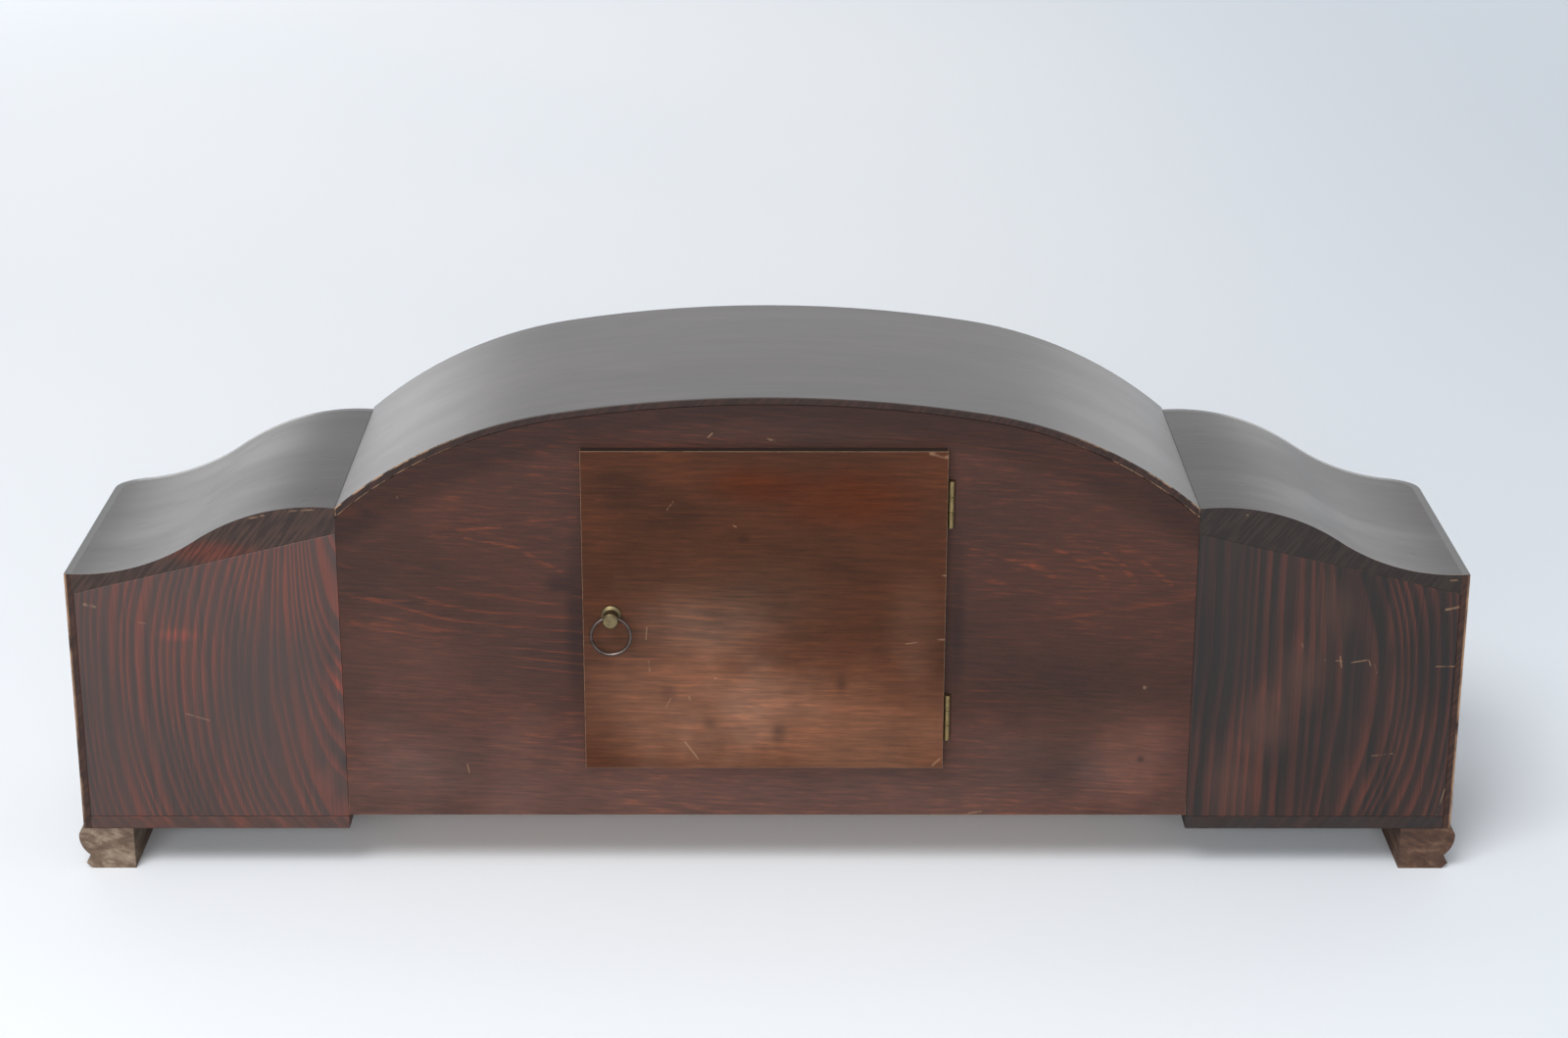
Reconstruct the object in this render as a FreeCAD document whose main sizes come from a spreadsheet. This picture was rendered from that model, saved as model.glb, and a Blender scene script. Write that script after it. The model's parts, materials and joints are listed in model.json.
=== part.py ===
"""Long mantel clock: an arched centre, a shouldered box at each end, and a door in its back.

Millimetres. +Z is up, the feet stand on Z = 0, the dial faces -Y and the rear door faces +Y.
Left and right are those of someone who faces the dial, so left is -X.
"""
import math
import os
from typing import NamedTuple

import FreeCAD
import Part
import Sketcher

SIZES = {
    # Case, centre section
    "case_half_width": 360.0,
    "centre_half_width": 220.0,
    "case_depth": 170.0,
    "centre_floor_height": 31.0,
    "panel_thickness": 8.0,
    "partition_thickness": 8.0,
    "floor_thickness": 8.0,
    "roof_apex": 261.0,
    "roof_thickness": 4.0,
    "roof_radius": 700.0,
    "roof_side_radius": 225.0,
    "roof_flat_half": 110.0,
    # Case, end boxes
    "wing_depth_inner": 166.0,
    "wing_depth_outer": 150.0,
    "wing_corner_radius": 18.0,
    "wrap_thickness": 4.0,
    "base_thickness": 7.0,
    "box_back_thickness": 12.0,
    "crest_inset": 12.0,
    "crest_height": 202.5,
    "dip_inset": 8.0,
    "dip_height": 166.0,
    "shoulder_depth_inner": 14.1,
    "shoulder_depth_outer": 10.5,
    # Feet
    "foot_height": 23.0,
    "foot_width": 26.0,
    "foot_bead_proud": 3.0,
    "foot_bead_height": 19.0,
    "foot_bead_radius": 5.2,
    "foot_cove_radius": 14.0,
    "foot_waist_inset": 2.5,
    "foot_waist_height": 7.6,
    "foot_lip_height": 3.0,
    "foot_toe_inset": 3.0,
    # Rear door and its hinges
    "door_hinge_edge": 91.0,
    "door_latch_edge": 94.5,
    "door_bottom": 61.0,
    "door_top": 234.6,
    "door_thickness": 6.2,
    "door_gap": 0.3,
    "door_overlap": 9.0,
    "hinge_length": 25.0,
    "hinge_low": 75.0,
    "hinge_high": 192.3,
    "hinge_axis_out": 2.0,
    "hinge_axis_lift": 1.5,
    "hinge_leaf_width": 9.8,
    "hinge_leaf_thickness": 0.9,
    "knuckle_radius": 1.8,
    "knuckle_gap": 0.2,
    "hinge_pin_radius": 0.9,
    "hinge_play": 0.05,
    "hinge_screw_head_radius": 1.6,
    "hinge_screw_radius": 0.9,
    "hinge_screw_length": 4.6,
    "hinge_screw_spread": 7.5,
    # Ring pull and latch
    "latch_inset": 14.5,
    "latch_height": 146.6,
    "stud_length": 10.0,
    "stud_radius": 4.2,
    "stud_base_radius": 5.2,
    "stud_neck_radius": 3.6,
    "spindle_radius": 2.5,
    "spindle_play": 0.05,
    "tongue_length": 17.0,
    "tongue_half_width": 3.5,
    "tongue_thickness": 1.5,
    "tongue_gap": 0.4,
    "ring_radius": 10.1,
    "ring_wire_radius": 0.9,
    "ring_hole_radius": 2.1,
    "ring_hole_rise": 1.0,
    "ring_hole_out": 6.8,
    # Dial, hands and bezel
    "dial_height": 145.0,
    "dial_margin": 7.5,
    "dial_thickness": 1.0,
    "dial_centre_hole": 5.0,
    "winding_hole_radius": 4.5,
    "front_cutout_radius": 55.0,
    "bezel_radius": 100.0,
    "bezel_width": 14.0,
    "bezel_depth": 9.5,
    "bezel_gap": 0.4,
    "glass_overlap": 4.0,
    "glass_seat": 3.4,
    "glass_thickness": 2.0,
    "glass_rise": 9.4,
    "glass_play": 0.3,
    "bezel_hinge_length": 20.0,
    "bezel_hinge_out": 3.0,
    "bezel_hinge_lift": 2.0,
    "bezel_leaf_width": 10.0,
    "hour_hand_lift": 1.6,
    "minute_hand_lift": 3.6,
    "hand_thickness": 0.8,
    "hour_hand_length": 48.0,
    "minute_hand_length": 70.0,
    "hand_nut_height": 2.6,
    "hand_nut_radius": 3.0,
    # Movement frame
    "plate_half_width": 60.0,
    "plate_below": 55.0,
    "plate_above": 65.0,
    "plate_thickness": 2.0,
    "plate_spacing": 42.0,
    "leg_length": 12.0,
    "leg_radius": 4.0,
    "leg_screw_radius": 1.6,
    "leg_screw_head_radius": 3.0,
    "leg_screw_bite": 6.0,
    "leg_inset": 6.0,
    "leg_low": 18.0,
    "leg_high": 18.0,
    "pillar_radius": 3.0,
    "pillar_stem_radius": 1.8,
    "pillar_inset": 6.0,
    "pillar_nut_radius": 3.6,
    "pillar_nut_height": 3.0,
    # Arbors and gearing
    "arbor_radius": 1.2,
    "pivot_radius": 0.8,
    "pivot_play": 0.05,
    "end_shake": 0.3,
    "wheel_thickness": 1.2,
    "hub_radius": 3.0,
    "tooth_play": 0.07,
    "barrel_module": 0.6,
    "train_module": 0.5,
    "fine_module": 0.4,
    "cannon_module": 0.625,
    "hour_module": 0.6,
    "barrel_radius": 19.0,
    "barrel_wall": 1.2,
    "barrel_length": 22.0,
    "barrel_back": 3.0,
    "great_wheel_thickness": 2.0,
    "mainspring_core": 9.0,
    "winding_radius": 2.5,
    "winding_square": 3.6,
    "winding_proud": 0.5,
    "ratchet_radius": 8.5,
    "escape_radius": 11.0,
    "escape_tooth": 1.6,
    "ratchet_tooth": 1.2,
    "anchor_rise": 16.5,
    "anchor_clearance": 1.8,
    "anchor_band": 2.7,
    "crutch_drop": 33.0,
    "crutch_thickness": 1.5,
    "crutch_bar_width": 1.2,
    "crutch_bar_height": 2.5,
    "crutch_gap": 0.5,
    "cannon_pipe_radius": 2.2,
    "hour_pipe_radius": 3.2,
    "hour_pipe_play": 0.1,
    "fly_radius": 9.0,
    "fly_length": 18.0,
    "fly_thickness": 0.6,
    "lifting_circle": 11.0,
    "lifting_pin_radius": 0.7,
    "lifting_pin_reach": 3.5,
    # Pendulum, hammers and gong
    "pendulum_length": 97.0,
    "pendulum_back": 28.0,
    "pendulum_rod_radius": 1.2,
    "bob_radius": 17.0,
    "bob_half_thickness": 4.0,
    "rating_nut_radius": 4.0,
    "rating_nut_height": 4.5,
    "hammer_drop": 47.0,
    "hammer_reach": 46.0,
    "hammer_arm_half": 1.5,
    "hammer_tail_gap": 0.6,
    "hammer_tail_thickness": 2.0,
    "hammer_head_radius": 4.0,
    "hammer_head_length": 14.0,
    "hammer_gap": 1.3,
    "gong_height": 66.0,
    "gong_rod_radius": 2.2,
    "gong_rod_length": 215.0,
    "gong_rod_back": 8.0,
    "gong_rod_pitch": 10.0,
    "gong_block_left": 100.0,
    "gong_block_width": 24.0,
}

# Directions, in degrees up from +X, from each wheel's arbor to the arbor that it drives or is driven by
BEARINGS = {
    "centre_to_intermediate": -12.6,
    "intermediate_to_barrel": -62.8,
    "centre_to_third": 100.0,
    "centre_to_minute": 90.0,
    "second_to_pin_wheel": 125.0,
    "pin_wheel_to_fly": 70.0,
}

doc = FreeCAD.newDocument("MantelClock")
sheet = doc.addObject("Spreadsheet::Sheet", "Sizes")
nodes = []
V = FreeCAD.Vector


class Dim:
    """A size: its number, and the sheet formula that gives it."""

    def __init__(self, value, formula):
        self.value = value
        self.formula = formula

    def __add__(self, other):
        return Dim(self.value + number(other), f"({self.formula} + {formula(other)})")

    def __sub__(self, other):
        return Dim(self.value - number(other), f"({self.formula} - {formula(other)})")

    def __mul__(self, other):
        return Dim(self.value * number(other), f"({self.formula} * {formula(other)})")

    def __truediv__(self, other):
        return Dim(self.value / number(other), f"({self.formula} / {formula(other)})")

    def __rsub__(self, other):
        return Dim(number(other) - self.value, f"({formula(other)} - {self.formula})")

    def __neg__(self):
        return Dim(-self.value, f"(0 - {self.formula})")

    __radd__ = __add__
    __rmul__ = __mul__


class Bend(NamedTuple):
    """An outline point that is reached by an arc; the arc turns left or right on its way there."""

    across: object
    up: object
    radius: object
    left: bool = True


class Mesh(NamedTuple):
    """A toothed wheel and the lantern pinion that it drives."""

    teeth: int
    pins: int
    module: Dim

    def distance(self):
        return self.module * ((self.teeth + self.pins) / 2)


class Sizes:
    """The driving dimensions, each under its own name."""

    def __init__(self, table):
        for row, (name, value) in enumerate(table.items(), start=1):
            sheet.set(f"A{row}", name)
            sheet.set(f"B{row}", str(value))
            sheet.setAlias(f"B{row}", name)
            setattr(self, name, Dim(value, f"Sizes.{name}"))
        doc.recompute()


def number(size):
    return size.value if isinstance(size, Dim) else size


def formula(size):
    return size.formula if isinstance(size, Dim) else repr(size)


def root(size):
    return Dim(math.sqrt(size.value), f"sqrt({size.formula})")


def beyond(spot, distance, bearing):
    """The point at a distance from another, in a direction given in degrees up from +X."""
    return (
        spot[0] + distance * math.cos(math.radians(bearing)),
        spot[1] + distance * math.sin(math.radians(bearing)),
    )


def node(name, piece):
    """Marks a document object as one of the clock's pieces."""
    piece.Label = name
    nodes.append(piece)
    return piece


def place(piece, x=0.0, y=0.0, z=0.0):
    for axis, size in zip("xyz", (x, y, z)):
        piece.setExpression(f"Placement.Base.{axis}", formula(size))
    return piece


def box(name, x, y, z):
    """A block given by its low and high limit along each axis."""
    block = doc.addObject("Part::Box", name)
    for side, (low, high) in zip(("Length", "Width", "Height"), (x, y, z)):
        block.setExpression(side, formula(high - low))
    return place(block, x[0], y[0], z[0])


TURNS = {
    "x": FreeCAD.Rotation(V(0, 1, 0), 90),
    "y": FreeCAD.Rotation(V(1, 0, 0), -90),
    "z": FreeCAD.Rotation(),
}


def rod(name, radius, axis, start, length):
    """A cylinder that runs from its start along +X, +Y or +Z."""
    bar = doc.addObject("Part::Cylinder", name)
    bar.setExpression("Radius", formula(radius))
    bar.setExpression("Height", formula(length))
    bar.Placement = FreeCAD.Placement(V(), TURNS[axis])
    return place(bar, *start)


def arc_between(first, last, radius, left):
    """The circle arc between two points; it is stored the way that turns left."""
    chord = last - first
    side = V(-chord.y, chord.x, 0).normalize() * (1 if left else -1)
    centre = (first + last) * 0.5 + side * math.sqrt(radius**2 - (chord.Length / 2) ** 2)
    begin, end = (first, last) if left else (last, first)
    angles = [math.atan2(point.y - centre.y, point.x - centre.x) for point in (begin, end)]
    return Part.ArcOfCircle(Part.Circle(centre, V(0, 0, 1), radius), *angles)


def outline(body, plane, points):
    """A closed sketch through the points, each held by its two coordinates and arcs by their radius."""
    sketch = body.newObject("Sketcher::SketchObject", f"{body.Name}_outline")
    support = next(item for item in body.Origin.OriginFeatures if item.Role == plane)
    sketch.AttachmentSupport = [(support, "")]
    sketch.MapMode = "FlatFace"
    corners = [V(number(point[0]), number(point[1]), 0) for point in points]
    ends = []
    for index, point in enumerate(points):
        first, last = corners[index - 1], corners[index]
        if isinstance(point, Bend):
            edge = arc_between(first, last, number(point.radius), point.left)
        else:
            edge = Part.LineSegment(first, last)
        leftward = not isinstance(point, Bend) or point.left
        ends.append((sketch.addGeometry(edge), 1 if leftward else 2, 2 if leftward else 1))
    for index, (edge, first_end, last_end) in enumerate(ends):
        after, after_first, _ = ends[(index + 1) % len(ends)]
        sketch.addConstraint(Sketcher.Constraint("Coincident", edge, last_end, after, after_first))
        for kind, size in zip(("DistanceX", "DistanceY"), points[index][:2]):
            held = Sketcher.Constraint(kind, -1, 1, edge, last_end, number(size))
            sketch.setExpression(f"Constraints[{sketch.addConstraint(held)}]", formula(size))
        if isinstance(points[index], Bend):
            bend = Sketcher.Constraint("Radius", edge, number(points[index].radius))
            sketch.setExpression(f"Constraints[{sketch.addConstraint(bend)}]", formula(points[index].radius))
    return sketch


def prism(name, plane, points, length, x=0.0, y=0.0, z=0.0):
    """An outline given thickness: towards -Y from an XZ outline, +Z from XY and +X from YZ."""
    body = doc.addObject("PartDesign::Body", name)
    sketch = outline(body, plane, points)
    pad = body.newObject("PartDesign::Pad", f"{name}_pad")
    pad.Profile = sketch
    pad.setExpression("Length", formula(length))
    return place(body, x, y, z)


def turned(name, plane, points, x=0.0, y=0.0, z=0.0):
    """A full turn of an outline about the sketch's upright axis: Y for XY outlines, Z for XZ ones."""
    body = doc.addObject("PartDesign::Body", name)
    sketch = outline(body, plane, points)
    turn = body.newObject("PartDesign::Revolution", f"{name}_turn")
    turn.Profile = sketch
    turn.ReferenceAxis = (sketch, ["V_Axis"])
    turn.Angle = 360
    return place(body, x, y, z)


def group(name, pieces):
    """Separate solids that share one node."""
    compound = doc.addObject("Part::Compound", name)
    compound.Links = pieces
    return compound


def fuse(name, pieces):
    joined = doc.addObject("Part::MultiFuse", name)
    joined.Shapes = pieces
    return joined


def cut(name, base, tools):
    """A piece with one or more tools, which don't overlap each other, taken away from it."""
    result = doc.addObject("Part::Cut", name)
    result.Base = base
    result.Tool = tools[0] if len(tools) == 1 else group(f"{name}_tools", tools)
    return result


def common(name, base, tool):
    result = doc.addObject("Part::Common", name)
    result.Base = base
    result.Tool = tool
    return result


def mirrored(name, source):
    """The same piece on the other side of the clock's middle plane."""
    copy = doc.addObject("Part::Mirroring", name)
    copy.Source = source
    copy.Normal = V(1, 0, 0)
    return copy


def pair(name, right_piece):
    """The right piece and its mirror image on the left, as two nodes."""
    node(f"right_{name}", right_piece)
    node(f"left_{name}", mirrored(f"left_{name}", right_piece))


S = Sizes(SIZES)

# Planes across the depth, all counted from the rear face of the case
front_proud = S.glass_seat + S.glass_thickness + S.glass_rise
rear_proud = S.door_gap + S.door_thickness + S.stud_length
REAR = (S.case_depth + front_proud - rear_proud) / 2
FRONT = REAR - S.case_depth
BACK_INNER = REAR - S.panel_thickness
FRONT_INNER = FRONT + S.panel_thickness
PLATE_FRONT = FRONT_INNER + S.leg_length
MOVEMENT = PLATE_FRONT + S.plate_thickness + S.plate_spacing
PLATE_BACK = MOVEMENT + S.plate_thickness

# Arbor places in the movement, as X and Z
BARREL_MESH = Mesh(72, 12, S.barrel_module)
INTERMEDIATE_MESH = Mesh(72, 12, S.train_module)
CENTRE_MESH = Mesh(72, 6, S.train_module)
THIRD_MESH = Mesh(72, 6, S.fine_module)
SECOND_MESH = Mesh(72, 12, S.train_module)
PIN_WHEEL_MESH = Mesh(72, 6, S.fine_module)
MINUTE_MESH = Mesh(36, 12, S.cannon_module)
HOUR_MESH = Mesh(40, 10, S.hour_module)
ESCAPE_TEETH = 40
RATCHET_TEETH = 24
LIFTING_PINS = 8

CENTRE = (Dim(0.0, "0"), S.dial_height)
INTERMEDIATE = beyond(CENTRE, INTERMEDIATE_MESH.distance(), BEARINGS["centre_to_intermediate"])
BARREL = beyond(INTERMEDIATE, BARREL_MESH.distance(), BEARINGS["intermediate_to_barrel"])
THIRD = beyond(CENTRE, CENTRE_MESH.distance(), BEARINGS["centre_to_third"])
ESCAPE = (CENTRE[0], THIRD[1] + root(THIRD_MESH.distance() * THIRD_MESH.distance() - THIRD[0] * THIRD[0]))
ANCHOR = (CENTRE[0], ESCAPE[1] + S.anchor_rise)
SECOND = (-INTERMEDIATE[0], INTERMEDIATE[1])
STRIKE_BARREL = (-BARREL[0], BARREL[1])
PIN_WHEEL = beyond(SECOND, SECOND_MESH.distance(), BEARINGS["second_to_pin_wheel"])
FLY = beyond(PIN_WHEEL, PIN_WHEEL_MESH.distance(), BEARINGS["pin_wheel_to_fly"])
HAMMER = (CENTRE[0], S.dial_height - S.hammer_drop)
MINUTE = beyond(CENTRE, MINUTE_MESH.distance(), BEARINGS["centre_to_minute"])


# Case

side_shift = S.roof_flat_half * (1 - S.roof_side_radius / S.roof_radius)
knee_share = root(1 - S.roof_flat_half * S.roof_flat_half / (S.roof_radius * S.roof_radius))
side_level = S.roof_apex - S.roof_radius + (S.roof_radius - S.roof_side_radius) * knee_share


def roof_end(across, depth):
    """Height of the roof curve, sunk by a depth, where its side arc is a distance from the middle."""
    reach = across - side_shift
    sunk = S.roof_side_radius - depth
    return side_level + root(sunk * sunk - reach * reach)


def roof_line(depth):
    """The arched roof curve sunk by a depth, from its right end to its left end."""
    edge = S.centre_half_width
    knee_across = S.roof_flat_half * (S.roof_radius - depth) / S.roof_radius
    knee_up = S.roof_apex - S.roof_radius + (S.roof_radius - depth) * knee_share
    end_up = roof_end(edge, depth)
    return [
        (edge, end_up),
        Bend(knee_across, knee_up, S.roof_side_radius - depth),
        Bend(-knee_across, knee_up, S.roof_radius - depth),
        Bend(-edge, end_up, S.roof_side_radius - depth),
    ]


def roof():
    edge = S.centre_half_width
    outer, inner = roof_line(S.roof_thickness * 0), roof_line(S.roof_thickness)
    back_along = [(-edge, inner[0][1])]
    for point, bend in zip(reversed(inner[:-1]), reversed(inner[1:])):
        back_along.append(Bend(point[0], point[1], bend.radius, left=False))
    return node("arch_roof", prism("arch_roof", "XZ_Plane", outer + back_along, S.case_depth, y=REAR))


def under_roof(name, rear_face):
    """A panel that fills the arch below the roof."""
    edge = S.centre_half_width
    floor = [(-edge, S.centre_floor_height), (edge, S.centre_floor_height)]
    return prism(name, "XZ_Plane", floor + roof_line(S.roof_thickness), S.panel_thickness, y=rear_face)


def partitions():
    edge = S.centre_half_width
    inner = edge - S.partition_thickness
    points = [
        (inner, S.centre_floor_height),
        (edge, S.centre_floor_height),
        (edge, roof_end(edge, S.roof_thickness)),
        Bend(inner, roof_end(inner, S.roof_thickness), S.roof_side_radius - S.roof_thickness),
    ]
    depth = S.case_depth - S.panel_thickness * 2
    right = prism("right_partition", "XZ_Plane", points, depth, y=BACK_INNER)
    return node("partitions", group("partitions", [right, mirrored("left_partition", right)]))


def centre_floor():
    inner = S.centre_half_width - S.partition_thickness
    height = (S.centre_floor_height, S.centre_floor_height + S.floor_thickness)
    return node("centre_base", box("centre_base", (-inner, inner), (FRONT_INNER, BACK_INNER), height))


# End boxes: a bent plywood wrap round the end and the front, with boards inside it

wing_slope = (S.wing_depth_inner - S.wing_depth_outer) / (S.case_half_width - S.centre_half_width)
slope_cos = Dim(1.0, "1") / root(1 + wing_slope * wing_slope)
slope_sin = wing_slope * slope_cos
corner_run = S.wing_corner_radius * slope_cos / (1 + slope_sin)
corner_across = S.case_half_width - S.wing_corner_radius
corner_y = REAR - S.wing_depth_outer + corner_run


def wing_plan(inset, rear_y):
    """The end box seen from above, drawn in by an inset: seam, end, rounded corner and canted front."""
    bend = S.wing_corner_radius - inset
    seam = S.centre_half_width
    return [
        (seam, rear_y),
        (S.case_half_width - inset, rear_y),
        (S.case_half_width - inset, corner_y),
        Bend(corner_across + slope_sin * bend, corner_y - slope_cos * bend, bend, left=False),
        (seam, REAR - S.wing_depth_inner + inset / slope_cos),
    ]


crest_across = S.centre_half_width + S.crest_inset
dip_across = S.case_half_width - S.dip_inset
ogee_run = dip_across - crest_across
ogee_fall = S.crest_height - S.dip_height
ogee_radius = (ogee_run * ogee_run + ogee_fall * ogee_fall) / (ogee_fall * 4)


def ogee_top(outer):
    """The shoulder's S curve, from its outer end to the seam."""
    past_dip = outer - dip_across
    to_crest = S.crest_inset
    seam_up = S.crest_height - ogee_radius + root(ogee_radius * ogee_radius - to_crest * to_crest)
    outer_up = S.dip_height + ogee_radius - root(ogee_radius * ogee_radius - past_dip * past_dip)
    return [
        (outer, outer_up),
        Bend((crest_across + dip_across) / 2, (S.crest_height + S.dip_height) / 2, ogee_radius, left=False),
        Bend(S.centre_half_width, seam_up, ogee_radius),
    ]


def end_box():
    seam, end = S.centre_half_width, S.case_half_width
    inner = end - S.wrap_thickness
    joint_up = S.crest_height - S.shoulder_depth_inner
    joint_low = S.dip_height - S.shoulder_depth_outer
    base_top = S.foot_height + S.base_thickness
    tall = S.crest_height - S.foot_height
    shell = prism("wrap_shell", "XY_Plane", wing_plan(S.wrap_thickness * 0, REAR), tall, z=S.foot_height)
    core = prism("wrap_core", "XY_Plane", wing_plan(S.wrap_thickness, REAR), tall, z=S.foot_height)
    under = [(seam, S.foot_height), (end, S.foot_height)] + ogee_top(end)
    below_ogee = prism("wrap_height", "XZ_Plane", under, S.wing_depth_inner, y=REAR)
    pair("wrap", common("right_wrap", cut("wrap_bent", shell, [core]), below_ogee))

    plank = [(seam, joint_up), (inner, joint_low)] + ogee_top(inner)
    plank_through = prism("plank", "XZ_Plane", plank, S.wing_depth_inner, y=REAR)
    pair("shoulder", common("right_shoulder", plank_through, core))

    floor = wing_plan(S.wrap_thickness, REAR)
    pair("base", prism("right_base", "XY_Plane", floor, S.base_thickness, z=S.foot_height))

    board = [
        (seam, base_top),
        (inner, base_top),
        (inner, joint_low),
        (seam, joint_up),
    ]
    pair("box_back", prism("right_box_back", "XZ_Plane", board, S.box_back_thickness, y=REAR))


# Feet: a moulded strip along each end, whose moulding turns the front corner

def moulding(face, inner, outward):
    """The foot's section between its face and its inner side, on the axis that the sign points along."""
    return [
        (inner, S.foot_height),
        (inner, S.foot_height * 0),
        (face - S.foot_toe_inset * outward, S.foot_height * 0),
        (face, S.foot_lip_height),
        (face - S.foot_waist_inset * outward, S.foot_waist_height),
        Bend(face + S.foot_bead_proud * outward, S.foot_bead_height, S.foot_cove_radius, left=outward > 0),
        Bend(face, S.foot_height, S.foot_bead_radius, left=outward > 0),
    ]


def foot():
    end = S.case_half_width
    inner = end - S.foot_width
    reach = S.wing_corner_radius + S.foot_bead_proud
    strip = prism("foot_strip", "XZ_Plane", moulding(end, inner, 1), REAR - corner_y, y=REAR)
    post = turned(
        "foot_post",
        "XZ_Plane",
        moulding(S.wing_corner_radius, S.wing_corner_radius * 0, 1),
        x=corner_across,
        y=corner_y,
    )
    quarter = box(
        "foot_quarter",
        (corner_across, corner_across + reach),
        (corner_y - reach, corner_y),
        (S.foot_height * 0, S.foot_height),
    )
    front_face = corner_y - S.wing_corner_radius
    toe = prism("foot_toe", "YZ_Plane", moulding(front_face, corner_y, -1), corner_across - inner, x=inner)
    pair("foot", fuse("right_foot", [strip, common("foot_corner", post, quarter), toe]))


# Rear door, its hinges and its ring latch

HINGE_X = -S.door_hinge_edge - S.hinge_axis_out
HINGE_Y = REAR + S.hinge_axis_lift
DOOR_INNER = REAR + S.door_gap
DOOR_OUTER = DOOR_INNER + S.door_thickness
LATCH_X = S.door_latch_edge - S.latch_inset
HINGE_HEIGHTS = {"low": S.hinge_low, "high": S.hinge_high}


def knuckle(name, spot, low, high):
    return rod(name, S.knuckle_radius, "z", (spot[0], spot[1], low), high - low)


def thirds(low, length):
    """The three knuckle spans of a hinge, with a gap between neighbours."""
    third = length / 3
    trim = S.knuckle_gap / 2
    return [
        (low, low + third - trim),
        (low + third + trim, low + third * 2 - trim),
        (low + third * 2 + trim, low + length),
    ]


def hinge_screw(name, x, z, face, inward):
    """A countersunk screw whose head is flush with a leaf's open face; inward is the sign along Y."""
    head = S.hinge_leaf_thickness
    head_start = face if inward > 0 else face - head
    shank_start = face if inward > 0 else face - S.hinge_screw_length
    return fuse(name, [
        rod(f"{name}_head", S.hinge_screw_head_radius, "y", (x, head_start, z), head),
        rod(f"{name}_shank", S.hinge_screw_radius, "y", (x, shank_start, z), S.hinge_screw_length),
    ])


def hinge_screws(side, face, inward):
    screws = []
    for level, low in HINGE_HEIGHTS.items():
        middle = low + S.hinge_length / 2
        for end, way in {"bottom": -1, "top": 1}.items():
            height = middle + S.hinge_screw_spread * way
            across = HINGE_X + (S.hinge_leaf_width + S.knuckle_radius) / 2
            screws.append(hinge_screw(f"{side}_screw_{level}_{end}", across, height, face, inward))
    return screws


def hinge_leaf(name, low, inner_y, spans):
    """One leaf of a butt hinge: its plate, and the knuckles that its tabs wrap round the pin."""
    plate_start = HINGE_X + S.knuckle_radius + S.knuckle_gap
    plate_end = HINGE_X + S.hinge_leaf_width
    depth = (inner_y, inner_y + S.hinge_leaf_thickness)
    pieces = [box(f"{name}_plate", (plate_start, plate_end), depth, (low, low + S.hinge_length))]
    for index, (start, stop) in enumerate(spans):
        pieces.append(box(f"{name}_tab{index}", (HINGE_X, plate_start), depth, (start, stop)))
        pieces.append(knuckle(f"{name}_knuckle{index}", (HINGE_X, HINGE_Y), start, stop))
    return fuse(name, pieces)


def pin_bore(name, spot, low, length):
    return rod(name, S.hinge_pin_radius + S.hinge_play, "z", (spot[0], spot[1], low), length)


def rear_hinges():
    """Two butt hinges; returns the cavities that they need in the panel and in the door, and their pins."""
    frame_screws = hinge_screws("frame", REAR, -1)
    door_screws = hinge_screws("door", DOOR_INNER, 1)
    frame_leaves, door_leaves, pins, panel_beds, door_beds = [], [], [], [], []
    for index, (level, low) in enumerate(HINGE_HEIGHTS.items()):
        first, second, third = thirds(low, S.hinge_length)
        frame = hinge_leaf(f"frame_leaf_{level}", low, REAR - S.hinge_leaf_thickness, [first, third])
        door = hinge_leaf(f"door_leaf_{level}", low, DOOR_INNER, [second])
        own = slice(index * 2, index * 2 + 2)
        spot = (HINGE_X, HINGE_Y)
        bores = [pin_bore(f"{side}_bore_{level}", spot, low, S.hinge_length) for side in ("frame", "door")]
        frame_leaves.append(cut(f"frame_leaf_{level}_bored", frame, [bores[0]] + frame_screws[own]))
        door_leaves.append(cut(f"door_leaf_{level}_bored", door, [bores[1]] + door_screws[own]))
        pins.append(rod(f"pin_{level}", S.hinge_pin_radius, "z", (HINGE_X, HINGE_Y, low), S.hinge_length))
        height = (low - S.knuckle_gap, low + S.hinge_length + S.knuckle_gap)
        reach = HINGE_X + S.hinge_leaf_width + S.knuckle_gap
        panel_beds.append(box(
            f"panel_bed_{level}",
            (HINGE_X - S.knuckle_radius - S.knuckle_gap, reach),
            (REAR - S.hinge_leaf_thickness, REAR),
            height,
        ))
        door_beds.append(box(
            f"door_bed_{level}",
            (-S.door_hinge_edge, reach),
            (DOOR_INNER, DOOR_INNER + S.hinge_leaf_thickness),
            height,
        ))
    node("hinge_frame_leaves", group("hinge_frame_leaves", frame_leaves))
    node("hinge_door_leaves", group("hinge_door_leaves", door_leaves))
    node("hinge_door_screws", group("hinge_door_screws", door_screws))
    return panel_beds + frame_screws, door_beds + door_screws, pins, frame_screws


def rear_door(cavities):
    slab = box(
        "door_slab",
        (-S.door_hinge_edge, S.door_latch_edge),
        (DOOR_INNER, DOOR_OUTER),
        (S.door_bottom, S.door_top),
    )
    bore_radius = S.spindle_radius + S.spindle_play
    bore = rod("door_bore", bore_radius, "y", (LATCH_X, DOOR_INNER, S.latch_height), S.door_thickness)
    beds = fuse("door_cavities", cavities)
    node("rear_door", cut("rear_door", slab, [bore, beds]))


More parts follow.
